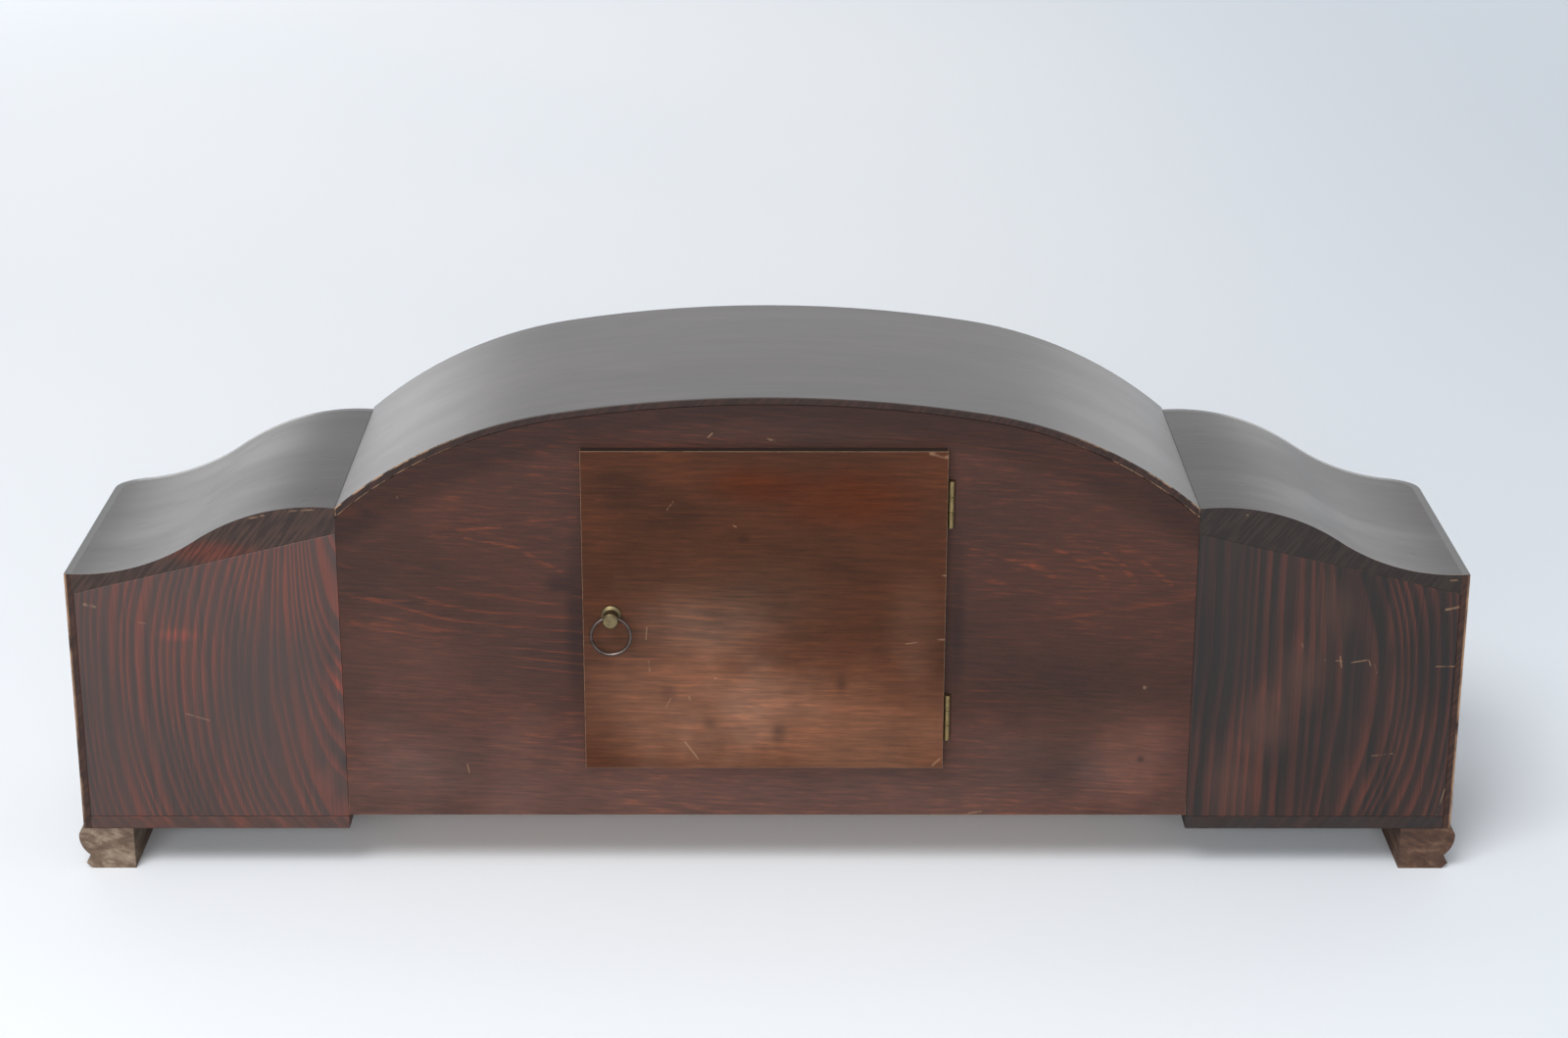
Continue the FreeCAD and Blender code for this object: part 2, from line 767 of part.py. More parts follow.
def ring_latch():
    """A turned stud that holds the ring; its spindle passes through the door and carries the tongue."""
    tongue_out = BACK_INNER - S.tongue_gap
    tongue_in = tongue_out - S.tongue_thickness
    seat = DOOR_OUTER + S.spindle_play * 3
    stem = S.spindle_radius - S.tongue_thickness / 3
    profile = [
        (S.spindle_radius * 0, tongue_in),
        (stem, tongue_in),
        (stem, tongue_out),
        (S.spindle_radius, tongue_out),
        (S.spindle_radius, seat),
        (S.stud_base_radius, seat),
        (S.stud_base_radius, seat + S.stud_length * 0.14),
        (S.stud_neck_radius, seat + S.stud_length * 0.25),
        (S.stud_neck_radius, seat + S.stud_length * 0.32),
        Bend(S.stud_radius, seat + S.stud_length * 0.45, S.stud_radius * 0.6),
        (S.stud_radius, DOOR_OUTER + S.stud_length * 0.92),
        (S.stud_neck_radius, DOOR_OUTER + S.stud_length),
        (S.spindle_radius * 0, DOOR_OUTER + S.stud_length),
    ]
    stud = turned("stud", "XY_Plane", profile, x=LATCH_X, z=S.latch_height)
    hole_y = DOOR_OUTER + S.ring_hole_out
    hole_z = S.latch_height + S.ring_hole_rise
    start = LATCH_X - S.stud_base_radius
    hole = rod("ring_hole", S.ring_hole_radius, "x", (start, hole_y, hole_z), S.stud_base_radius * 2)
    node("latch_spindle", cut("latch_spindle", stud, [hole]))

    plate = box(
        "tongue_plate",
        (LATCH_X - S.tongue_half_width, LATCH_X + S.tongue_half_width),
        (tongue_in, tongue_out),
        (S.latch_height - S.tongue_half_width, S.latch_height + S.tongue_length),
    )
    eye = rod("tongue_eye", stem, "y", (LATCH_X, tongue_in, S.latch_height), S.tongue_thickness)
    node("latch_tongue", cut("latch_tongue", plate, [eye]))

    ring = doc.addObject("Part::Torus", "pull_ring")
    ring.setExpression("Radius1", formula(S.ring_radius))
    ring.setExpression("Radius2", formula(S.ring_wire_radius))
    ring.Placement = FreeCAD.Placement(V(), TURNS["y"])
    node("pull_ring", place(ring, LATCH_X, hole_y, hole_z - S.ring_radius))


def back_panel(cavities):
    panel = under_roof("back_blank", REAR)
    doorway = box(
        "doorway",
        (S.door_overlap - S.door_hinge_edge, S.door_latch_edge - S.door_overlap),
        (BACK_INNER, REAR),
        (S.door_bottom + S.door_overlap, S.door_top - S.door_overlap),
    )
    node("back_panel", cut("back_panel", panel, [doorway, fuse("panel_cavities", cavities)]))


# Dial side: dial, hinged bezel with its glass, and hands

BEZEL_X = -S.bezel_radius - S.bezel_hinge_out
BEZEL_Y = FRONT - S.bezel_hinge_lift
BEZEL_LOW = S.dial_height - S.bezel_hinge_length / 2
DIAL_FACE = FRONT - S.dial_thickness
DIAL_RADIUS = S.bezel_radius - S.dial_margin
BEZEL_INNER = S.bezel_radius - S.bezel_width
GLASS_RADIUS = BEZEL_INNER + S.glass_overlap


def dial():
    disc = rod("dial_disc", DIAL_RADIUS, "y", (0.0, DIAL_FACE, S.dial_height), S.dial_thickness)
    holes = [rod("dial_middle", S.dial_centre_hole, "y", (0.0, DIAL_FACE, S.dial_height), S.dial_thickness)]
    for side, spot in {"going": BARREL, "strike": STRIKE_BARREL}.items():
        start = (spot[0], DIAL_FACE, spot[1])
        holes.append(rod(f"dial_{side}", S.winding_hole_radius, "y", start, S.dial_thickness))
    node("dial", cut("dial", disc, holes))


def bezel():
    """A rolled brass ring with a rebate for the glass and one knuckle on its left edge."""
    glass_back = FRONT - S.glass_seat
    glass_front = glass_back - S.glass_thickness
    back = FRONT - S.bezel_gap
    rebate = GLASS_RADIUS + S.glass_play
    recess = DIAL_RADIUS + S.glass_play * 2
    crown = S.bezel_radius - S.bezel_depth * 0.6
    profile = [
        (recess, back),
        (S.bezel_radius, back),
        (S.bezel_radius, back - S.bezel_depth * 0.35),
        Bend(crown, FRONT - S.bezel_depth, S.bezel_depth * 0.7, left=False),
        (BEZEL_INNER, FRONT - S.bezel_depth + S.glass_play * 4),
        (BEZEL_INNER, glass_front - S.glass_play * 5),
        (rebate, glass_front - S.glass_play),
        (rebate, glass_back + S.bezel_gap),
        (recess, glass_back + S.bezel_gap),
    ]
    ring = turned("bezel_ring", "XY_Plane", profile, z=S.dial_height)
    _, middle, _ = thirds(BEZEL_LOW, S.bezel_hinge_length)
    tab = box(
        "bezel_tab",
        (BEZEL_X, -S.bezel_radius + S.bezel_hinge_out / 2),
        (BEZEL_Y - S.hinge_leaf_thickness, BEZEL_Y + S.hinge_leaf_thickness),
        middle,
    )
    spot = (BEZEL_X, BEZEL_Y)
    bored = pin_bore("bezel_bore", spot, BEZEL_LOW, S.bezel_hinge_length)
    body = fuse("bezel_body", [ring, tab, knuckle("bezel_knuckle", spot, *middle)])
    node("bezel", cut("bezel", body, [bored]))

    dome = (GLASS_RADIUS * GLASS_RADIUS + S.glass_rise * S.glass_rise) / (S.glass_rise * 2)
    pane = [
        (GLASS_RADIUS * 0, glass_back - S.glass_rise),
        Bend(GLASS_RADIUS, glass_back, dome),
        (GLASS_RADIUS, glass_front),
        Bend(GLASS_RADIUS * 0, glass_front - S.glass_rise, dome, left=False),
    ]
    node("bezel_glass", turned("bezel_glass", "XY_Plane", pane, z=S.dial_height))


def bezel_hinge():
    """The fixed leaf on the front panel; returns its screws and the pin."""
    leaf_face = FRONT - S.hinge_leaf_thickness
    edge = BEZEL_X - S.bezel_leaf_width
    tall = (BEZEL_LOW, BEZEL_LOW + S.bezel_hinge_length)
    plate = box("bezel_plate", (edge, BEZEL_X), (leaf_face, FRONT), tall)
    first, _, third = thirds(BEZEL_LOW, S.bezel_hinge_length)
    spot = (BEZEL_X, BEZEL_Y)
    clear = S.knuckle_radius + S.knuckle_gap
    notch = box("bezel_notch", (BEZEL_X - clear, BEZEL_X), (leaf_face, FRONT), (first[1], third[0]))
    knuckles = [knuckle("fixed_knuckle_low", spot, *first), knuckle("fixed_knuckle_high", spot, *third)]
    leaf = fuse("bezel_leaf", [cut("bezel_plate_notched", plate, [notch])] + knuckles)
    screws = []
    for end, way in {"bottom": -1, "top": 1}.items():
        height = S.dial_height + S.bezel_hinge_length / 3 * way
        screws.append(hinge_screw(f"bezel_screw_{end}", edge + S.bezel_leaf_width / 3, height, leaf_face, 1))
    bored = pin_bore("fixed_bore", spot, BEZEL_LOW, S.bezel_hinge_length)
    node("bezel_hinge", cut("bezel_hinge", leaf, [bored] + screws))
    pin = rod("bezel_pin", S.hinge_pin_radius, "z", (BEZEL_X, BEZEL_Y, BEZEL_LOW), S.bezel_hinge_length)
    return screws, pin


def hand(name, length, lift, eye_radius, minutes):
    """A tapered hand with a short tail, turned to where it stands on the dial."""
    rear_face = DIAL_FACE - lift
    boss = eye_radius * 2
    blade = [
        (-eye_radius * 0.5, -length * 0.2),
        (eye_radius * 0.5, -length * 0.2),
        (eye_radius * 0.7, length * 0.55),
        (eye_radius * 0, length),
        (-eye_radius * 0.7, length * 0.55),
    ]
    body = prism(f"{name}_blade", "XZ_Plane", blade, S.hand_thickness)
    body.Placement = FreeCAD.Placement(V(), FreeCAD.Rotation(V(0, 1, 0), minutes * 6))
    place(body, 0.0, rear_face, S.dial_height)
    start = (0.0, rear_face - S.hand_thickness, S.dial_height)
    disc = rod(f"{name}_boss", boss, "y", start, S.hand_thickness)
    eye = rod(f"{name}_eye", eye_radius, "y", start, S.hand_thickness)
    node(name, cut(name, fuse(f"{name}_solid", [body, disc]), [eye]))


SHOWN_HOUR = 10
SHOWN_MINUTE = 10


def hands():
    """The hands stand at the time shown, each by its place on the minute circle."""
    hour_place = (SHOWN_HOUR + SHOWN_MINUTE / 60) * 5
    hand("hour_hand", S.hour_hand_length, S.hour_hand_lift, S.hour_pipe_radius, hour_place)
    hand("minute_hand", S.minute_hand_length, S.minute_hand_lift, S.cannon_pipe_radius, SHOWN_MINUTE)
    start = (0.0, HAND_END - S.hand_nut_height, S.dial_height)
    nut = rod("nut_blank", S.hand_nut_radius, "y", start, S.hand_nut_height)
    eye = rod("nut_eye", S.arbor_radius, "y", start, S.hand_nut_height)
    node("hand_nut", cut("hand_nut", nut, [eye]))


HAND_END = DIAL_FACE - S.minute_hand_lift - S.hand_thickness


def front_panel(cavities):
    panel = under_roof("front_blank", FRONT_INNER)
    start = (0.0, FRONT, S.dial_height)
    cutout = rod("front_cutout", S.front_cutout_radius, "y", start, S.panel_thickness)
    node("front_panel", cut("front_panel", panel, [cutout] + cavities))


# Movement frame: two brass plates on four pillars, carried by four legs on the front panel

PLATE_LOW = S.dial_height - S.plate_below
PLATE_HIGH = S.dial_height + S.plate_above


def corner_spots(inset, low, high):
    """Four places, a distance in from the plates' sides and from their bottom and top edges."""
    across = S.plate_half_width - inset
    heights = (PLATE_LOW + low, PLATE_HIGH - high)
    return [(across * way, height) for way in (-1, 1) for height in heights]


def journals(plate_name, y, radii):
    """Round holes for the arbors in one plate, with running play."""
    holes = []
    for name, (spot, radius) in radii.items():
        start = (spot[0], y, spot[1])
        holes.append(rod(f"{plate_name}_{name}", radius + S.pivot_play, "y", start, S.plate_thickness))
    return holes


def movement_frame():
    """Plates, pillars, nuts, legs and screws; returns the screws, which also bite into the front panel."""
    posts, nuts, stems = [], [], {"front": [], "back": []}
    plate_rears = {"front": PLATE_FRONT, "back": MOVEMENT}
    whole = S.plate_spacing + S.plate_thickness * 2 + S.pillar_nut_height
    for index, (x, z) in enumerate(corner_spots(S.pillar_inset, S.pillar_inset, S.pillar_inset)):
        start = (x, MOVEMENT - S.plate_spacing, z)
        post = rod(f"pillar_post{index}", S.pillar_radius, "y", start, S.plate_spacing)
        stem = rod(f"pillar_stem{index}", S.pillar_stem_radius, "y", (x, PLATE_FRONT, z), whole)
        posts.append(fuse(f"pillar{index}", [post, stem]))
        for side, y in plate_rears.items():
            hole_name = f"stem_hole_{side}{index}"
            stems[side].append(rod(hole_name, S.pillar_stem_radius, "y", (x, y, z), S.plate_thickness))
        nut = rod(f"nut{index}", S.pillar_nut_radius, "y", (x, PLATE_BACK, z), S.pillar_nut_height)
        thread = rod(f"nut_thread{index}", S.pillar_stem_radius, "y", (x, PLATE_BACK, z), S.pillar_nut_height)
        nuts.append(cut(f"nut_tapped{index}", nut, [thread]))
    node("pillars", group("pillars", posts))
    node("pillar_nuts", group("pillar_nuts", nuts))

    legs, screws = [], []
    for index, (x, z) in enumerate(corner_spots(S.leg_inset, S.leg_low, S.leg_high)):
        leg = rod(f"leg_blank{index}", S.leg_radius, "y", (x, FRONT_INNER, z), S.leg_length)
        length = S.plate_thickness + S.leg_length + S.leg_screw_bite
        face = PLATE_FRONT + S.plate_thickness
        shank = rod(f"leg_shank{index}", S.leg_screw_radius, "y", (x, face - length, z), length)
        head = rod(f"leg_head{index}", S.leg_screw_head_radius, "y", (x, face, z), S.leg_screw_radius)
        screws.append(fuse(f"leg_screw{index}", [shank, head]))
        legs.append(cut(f"leg{index}", leg, [screws[-1]]))
    node("movement_legs", group("movement_legs", legs))

    pivots = {
        "intermediate": INTERMEDIATE, "third": THIRD, "escape": ESCAPE,
        "second": SECOND, "pin_wheel": PIN_WHEEL, "fly": FLY,
    }
    shared = {name: (spot, S.pivot_radius) for name, spot in pivots.items()}
    for name, spot in {"going": BARREL, "strike": STRIKE_BARREL}.items():
        shared[name] = (spot, S.winding_radius)
    front = dict(
        shared,
        centre=(CENTRE, S.arbor_radius),
        anchor=(ANCHOR, S.pivot_radius),
        hammer=(HAMMER, S.pivot_radius),
    )
    back = dict(
        shared,
        centre=(CENTRE, S.pivot_radius),
        anchor=(ANCHOR, S.arbor_radius),
        hammer=(HAMMER, S.arbor_radius),
    )
    sides = (-S.plate_half_width, S.plate_half_width)
    tall = (PLATE_LOW, PLATE_HIGH)
    front_blank = box("front_plate_blank", sides, (PLATE_FRONT, PLATE_FRONT + S.plate_thickness), tall)
    back_blank = box("back_plate_blank", sides, (MOVEMENT, PLATE_BACK), tall)
    front_holes = journals("front", PLATE_FRONT, front) + stems["front"] + screws
    front_drilled = cut("front_plate_drilled", front_blank, front_holes)
    length = S.leg_length + S.plate_thickness
    stud = rod("minute_stud", S.arbor_radius, "y", (MINUTE[0], PLATE_FRONT - length, MINUTE[1]), length)
    node("front_plate", fuse("front_plate", [front_drilled, stud]))
    node("back_plate", cut("back_plate", back_blank, journals("back", MOVEMENT, back) + stems["back"]))
    return screws


# Wheels and arbors: each is one riveted piece, with straight-pinned lantern pinions

FLANK_ARC = math.radians(330)
PIN_SHARE = 0.72
SHROUD = 0.8


def inside(distance):
    """The Y place at a distance ahead of the back plate's inner face."""
    return MOVEMENT.value - distance


def ahead(distance):
    """The Y place at a distance ahead of the front plate's front face."""
    return PLATE_FRONT.value - distance


def disc(radius, rear_y, thickness):
    """A round step of an arbor that lies on the Y axis."""
    return Part.makeCylinder(radius, thickness, V(0, rear_y - thickness, 0), V(0, 1, 0))


def plate_of(points, rear_y, thickness):
    """A flat piece with a straight-sided outline in X and Z."""
    closed = [V(x, rear_y, z) for x, z in points]
    return Part.Face(Part.makePolygon(closed + closed[:1])).extrude(V(0, -thickness, 0))


def pin_radius(mesh):
    return PIN_SHARE * mesh.module.value


def toothed(mesh, bearing, rear_y, thickness):
    """A wheel whose flanks clear a rolling pin; a gap between teeth points along the bearing.

    The pin's middle runs on the curve that the pinion's pitch circle draws as it rolls round the wheel's,
    and the flank lies a pin's radius and the play to one side of it, towards the rolling point.
    """
    pitch = mesh.module.value * mesh.teeth / 2
    rolling = mesh.module.value * mesh.pins / 2
    side = pin_radius(mesh) + S.tooth_play.value
    roll = FLANK_ARC / mesh.pins
    turn = roll * rolling / pitch
    path_x = (pitch + rolling) * math.cos(turn) - rolling * math.cos(turn + roll)
    path_y = (pitch + rolling) * math.sin(turn) - rolling * math.sin(turn + roll)
    to_x, to_y = pitch * math.cos(turn) - path_x, pitch * math.sin(turn) - path_y
    share = side / math.hypot(to_x, to_y)
    flank = [(pitch - side, side), (pitch, side), (path_x + to_x * share, path_y + to_y * share)]
    points = []
    for tooth in range(mesh.teeth):
        middle = math.radians(bearing) + 2 * math.pi * tooth / mesh.teeth
        below = [(x, -y) for x, y in reversed(flank)]
        for x, y in below + flank:
            angle = middle + math.atan2(y, x)
            points.append((math.hypot(x, y) * math.cos(angle), math.hypot(x, y) * math.sin(angle)))
    return plate_of(points, rear_y, thickness)


def lantern(mesh, bearing, rear_y, length, core):
    """A lantern pinion: two shrouds with pins between them; one pin points along the bearing."""
    radius = mesh.module.value * mesh.pins / 2
    pin = pin_radius(mesh)
    rim = radius + pin + S.end_shake.value
    pieces = [disc(rim, rear_y, SHROUD), disc(rim, rear_y - length + SHROUD, SHROUD)]
    if core:
        pieces.append(disc(core, rear_y, length))
    for index in range(mesh.pins):
        angle = math.radians(bearing) + 2 * math.pi * index / mesh.pins
        start = V(radius * math.cos(angle), rear_y - length, radius * math.sin(angle))
        pieces.append(Part.makeCylinder(pin, length, start, V(0, 1, 0)))
    return pieces


def saw_wheel(teeth, tip, root_radius, rear_y, thickness):
    """A wheel with leaning pointed teeth, such as an escape wheel or a ratchet."""
    points = []
    for tooth in range(teeth):
        angle = 2 * math.pi * tooth / teeth
        points.append((tip * math.cos(angle), tip * math.sin(angle)))
        back = angle + 0.25 * 2 * math.pi / teeth
        points.append((root_radius * math.cos(back), root_radius * math.sin(back)))
    return plate_of(points, rear_y, thickness)


def riveted(name, spot, pieces, bores=()):
    """Joins the steps of one arbor into a solid and sets it at its place."""
    solid = pieces[0].multiFuse(pieces[1:])
    for bore in bores:
        solid = solid.cut(bore)
    piece = doc.addObject("Part::Feature", name)
    piece.Shape = solid
    piece.Placement = FreeCAD.Placement(V(number(spot[0]), 0, number(spot[1])), FreeCAD.Rotation())
    return node(name, piece)


def between_plates(gap=None):
    """A plain arbor with its two pivots, left open over the span of a pinion that has no core."""
    shake, whole = S.end_shake.value, S.plate_spacing.value
    plate = S.plate_thickness.value
    spans = [(shake, whole - shake)] if gap is None else [(shake, gap[0]), (gap[1], whole - shake)]
    steps = [disc(S.arbor_radius.value, inside(low), high - low) for low, high in spans]
    for low, high in ((-plate, shake), (whole - shake, whole + plate)):
        steps.append(disc(S.pivot_radius.value, inside(low), high - low))
    return steps


# How far ahead of the back plate each wheel lies, and how much longer than its wheel a pinion is at each end
GREAT_LAYER = S.barrel_back + S.barrel_length
UPPER_LAYER = 32.0
SECOND_LAYER = 28.8
CENTRE_LAYER = 6.0
THIRD_LAYER = 14.0
ESCAPE_LAYER = 20.0
LIFTING_LAYER = 35.0
PINION_MARGIN = 1.6
FLY_LAYER = 10.0
# The motion work's two wheel layers, ahead of the front plate
MINUTE_LAYER = 3.6
HOUR_LAYER = 10.4
SLEEVE_WALL = 0.8
ANCHOR_SPREAD = math.radians(48)
ANCHOR_STEPS = 8
# Outline of the hammers' tail round their arbor, as X and Z
HAMMER_TAIL = [
    (-2, -1), (2, 1), (-10.5, 23), (-25.5, 42.5),
    (-26, 47.5), (-29, 47.5), (-28.5, 41.5), (-13.5, 21),
]


def pinion_span(layer, thickness):
    """Where a pinion starts, and how long it is, round a wheel in a layer."""
    return layer - PINION_MARGIN, thickness + PINION_MARGIN * 2


def hub(layer):
    thickness = S.wheel_thickness.value
    return disc(S.hub_radius.value, inside(layer - thickness), thickness * 3)


def driven(name, spot, driver, driver_bearing, driver_layer, driver_thickness, extra):
    """An arbor with the pinion that a wheel drives, and whatever else is fixed on it."""
    low, length = pinion_span(driver_layer, driver_thickness)
    core = S.arbor_radius.value if driver.pins > 6 else None
    gap = None if core else (low, low + length)
    pieces = between_plates(gap) + lantern(driver, driver_bearing + 180, inside(low), length, core)
    return riveted(name, spot, pieces + extra)


def barrel():
    """A drum with a great wheel on its front end, round the spring; it turns on the winding arbor."""
    length, back = S.barrel_length.value, S.barrel_back.value
    wall, outer = S.barrel_wall.value, S.barrel_radius.value
    through = disc(S.winding_radius.value + S.pivot_play.value, inside(0), S.plate_spacing.value)
    drum = disc(outer, inside(back), length).cut(disc(outer - wall, inside(back + wall), length - wall))
    bearing = BEARINGS["intermediate_to_barrel"] + 180
    great = toothed(BARREL_MESH, bearing, inside(GREAT_LAYER.value), S.great_wheel_thickness.value)
    going = riveted("going_barrel", BARREL, [drum, great], [through])
    node("strike_barrel", mirrored("strike_barrel", going))

    spring_start = inside(back + wall)
    spring = disc(outer - wall, spring_start, length - wall)
    hollow = disc(S.mainspring_core.value, spring_start, length - wall)
    coil = riveted("going_mainspring", BARREL, [spring], [hollow])
    node("strike_mainspring", mirrored("strike_mainspring", coil))


def winding_arbor():
    """An arbor through both plates, with a ratchet and a square end that shows in the dial."""
    plate, spacing = S.plate_thickness.value, S.plate_spacing.value
    half = S.winding_square.value / 2
    thickness = S.wheel_thickness.value
    tip = S.ratchet_radius.value
    ratchet_y = ahead(thickness)
    face = DIAL_FACE.value - S.winding_proud.value
    shaft = disc(S.winding_radius.value, inside(-plate), spacing + plate * 2 + thickness * 2)
    ratchet = saw_wheel(RATCHET_TEETH, tip, tip - S.ratchet_tooth.value, ratchet_y, thickness)
    corners = [(-half, -half), (half, -half), (half, half), (-half, half)]
    square = plate_of(corners, ratchet_y, ratchet_y - face)
    going = riveted("going_arbor", BARREL, [shaft, ratchet, square])
    node("strike_arbor", mirrored("strike_arbor", going))


def wheel_and_hub(mesh, bearing, layer):
    return [toothed(mesh, bearing, inside(layer), S.wheel_thickness.value), hub(layer)]


def going_train():
    great_thickness, thickness = S.great_wheel_thickness.value, S.wheel_thickness.value
    to_barrel = BEARINGS["intermediate_to_barrel"]
    to_intermediate = BEARINGS["centre_to_intermediate"]
    to_third = BEARINGS["centre_to_third"]
    to_escape = math.degrees(math.atan2(number(ESCAPE[1] - THIRD[1]), number(ESCAPE[0] - THIRD[0])))

    upper = wheel_and_hub(INTERMEDIATE_MESH, to_intermediate + 180, UPPER_LAYER)
    great = GREAT_LAYER.value
    driven("intermediate_wheel", INTERMEDIATE, BARREL_MESH, to_barrel + 180, great, great_thickness, upper)

    reach = PLATE_FRONT.value - HAND_END.value + S.hand_nut_height.value
    post = disc(S.arbor_radius.value, inside(S.plate_spacing.value - 1), reach + S.plate_thickness.value + 1)
    lower = wheel_and_hub(CENTRE_MESH, to_third, CENTRE_LAYER) + [post]
    driven("centre_wheel", CENTRE, INTERMEDIATE_MESH, to_intermediate + 180, UPPER_LAYER, thickness, lower)

    fine = wheel_and_hub(THIRD_MESH, to_escape, THIRD_LAYER)
    driven("third_wheel", THIRD, CENTRE_MESH, to_third, CENTRE_LAYER, thickness, fine)

    tip = S.escape_radius.value
    points = saw_wheel(ESCAPE_TEETH, tip, tip - S.escape_tooth.value, inside(ESCAPE_LAYER), thickness)
    pointed = [points, hub(ESCAPE_LAYER)]
    driven("escape_wheel", ESCAPE, THIRD_MESH, to_escape, THIRD_LAYER, thickness, pointed)


def anchor():
    """A rocking anchor concentric with the escape wheel, whose arbor carries the crutch behind the plates."""
    rise = S.anchor_rise.value
    thickness = S.wheel_thickness.value * 1.8
    rear_y = inside(ESCAPE_LAYER - S.end_shake.value)
    inner = S.escape_radius.value + S.anchor_clearance.value
    outer = inner + S.anchor_band.value
    sweep = [ANCHOR_SPREAD * (2 * step / ANCHOR_STEPS - 1) for step in range(ANCHOR_STEPS + 1)]
    band = [(outer * math.sin(a), outer * math.cos(a) - rise) for a in sweep]
    band += [(inner * math.sin(a), inner * math.cos(a) - rise) for a in reversed(sweep)]
    boss = disc(S.hub_radius.value, rear_y, thickness)

    shake, plate, whole = S.end_shake.value, S.plate_thickness.value, S.plate_spacing.value
    strip_thick = S.crutch_thickness.value
    crutch_back = plate + strip_thick * 1.6
    rear_arbor = disc(S.arbor_radius.value, inside(-crutch_back), whole - shake + crutch_back)
    front_pivot = disc(S.pivot_radius.value, inside(whole - shake), shake + plate)
    collar = disc(S.hub_radius.value * 0.8, inside(-crutch_back), strip_thick)

    drop, tall, wide = S.crutch_drop.value, S.crutch_bar_height.value, S.crutch_bar_width.value
    gap = S.pendulum_rod_radius.value + S.crutch_gap.value
    start_y = inside(-crutch_back) - strip_thick
    reach = S.pendulum_back.value + plate + S.pendulum_rod_radius.value - crutch_back + strip_thick
    strip = Part.makeBox(strip_thick * 2, strip_thick, drop, V(-strip_thick, start_y, -drop))
    bars = [Part.makeBox(wide, reach, tall, V(x, start_y, -drop)) for x in (gap, -gap - wide)]
    bridge = Part.makeBox((gap + wide) * 2, strip_thick, tall, V(-gap - wide, start_y, -drop))
    pallets = plate_of(band, rear_y, thickness)
    riveted("anchor", ANCHOR, [rear_arbor, front_pivot, pallets, boss, collar, strip, bridge] + bars)


def motion_work():
    """The cannon pinion under the minute hand, the minute wheel on its stud, and the hour wheel."""
    thickness = S.wheel_thickness.value
    arbor, pipe = S.arbor_radius.value, S.cannon_pipe_radius.value
    to_minute = BEARINGS["centre_to_minute"]
    low, length = pinion_span(MINUTE_LAYER, thickness)
    cannon_end = PLATE_FRONT.value - HAND_END.value
    tube = disc(pipe, ahead(low), cannon_end - low)
    pinion = lantern(MINUTE_MESH, to_minute, ahead(low), length, None)
    riveted("cannon_pinion", CENTRE, [tube] + pinion, [disc(arbor, ahead(0), cannon_end + low)])

    high, high_length = pinion_span(HOUR_LAYER, thickness)
    wheel = toothed(MINUTE_MESH, to_minute + 180, ahead(MINUTE_LAYER), thickness)
    sleeve_start = MINUTE_LAYER - SLEEVE_WALL
    sleeve_end = high + high_length
    sleeve = disc(arbor + SLEEVE_WALL, ahead(sleeve_start), sleeve_end - sleeve_start)
    pinion = lantern(HOUR_MESH, to_minute + 180, ahead(high), high_length, None)
    bore = disc(arbor + S.pivot_play.value, ahead(0), sleeve_end + low)
    riveted("minute_wheel", MINUTE, [wheel, sleeve] + pinion, [bore])

    hour = toothed(HOUR_MESH, to_minute, ahead(HOUR_LAYER), thickness)
    hour_end = PLATE_FRONT.value - (DIAL_FACE - S.hour_hand_lift - S.hand_thickness).value
    sleeve_start = HOUR_LAYER - SLEEVE_WALL
    sleeve = disc(S.hour_pipe_radius.value, ahead(sleeve_start), hour_end - sleeve_start)
    bore = disc(pipe + S.hour_pipe_play.value, ahead(0), hour_end + low)
    riveted("hour_wheel", CENTRE, [hour, sleeve], [bore])


def strike_train():
    great_thickness, thickness = S.great_wheel_thickness.value, S.wheel_thickness.value
    to_barrel = 180 - BEARINGS["intermediate_to_barrel"]
    to_pin_wheel = BEARINGS["second_to_pin_wheel"]
    to_fly = BEARINGS["pin_wheel_to_fly"]

    upper = wheel_and_hub(SECOND_MESH, to_pin_wheel, SECOND_LAYER)
    driven("second_wheel", SECOND, BARREL_MESH, to_barrel + 180, GREAT_LAYER.value, great_thickness, upper)

    lifting = [toothed(PIN_WHEEL_MESH, to_fly, inside(LIFTING_LAYER), thickness)]
    circle, length = S.lifting_circle.value, thickness + S.lifting_pin_reach.value
    for index in range(LIFTING_PINS):
        angle = 2 * math.pi * index / LIFTING_PINS
        start = V(circle * math.cos(angle), inside(LIFTING_LAYER + length), circle * math.sin(angle))
        lifting.append(Part.makeCylinder(S.lifting_pin_radius.value, length, start, V(0, 1, 0)))
    driven("pin_wheel", PIN_WHEEL, SECOND_MESH, to_pin_wheel, SECOND_LAYER, thickness, lifting)

    reach, length, thin = S.fly_radius.value, S.fly_length.value, S.fly_thickness.value
    vane = Part.makeBox(reach * 2, length, thin, V(-reach, inside(FLY_LAYER + length), -thin / 2))
    driven("strike_fly", FLY, PIN_WHEEL_MESH, to_fly, LIFTING_LAYER, thickness, [vane])


# Pendulum, hammers and gong

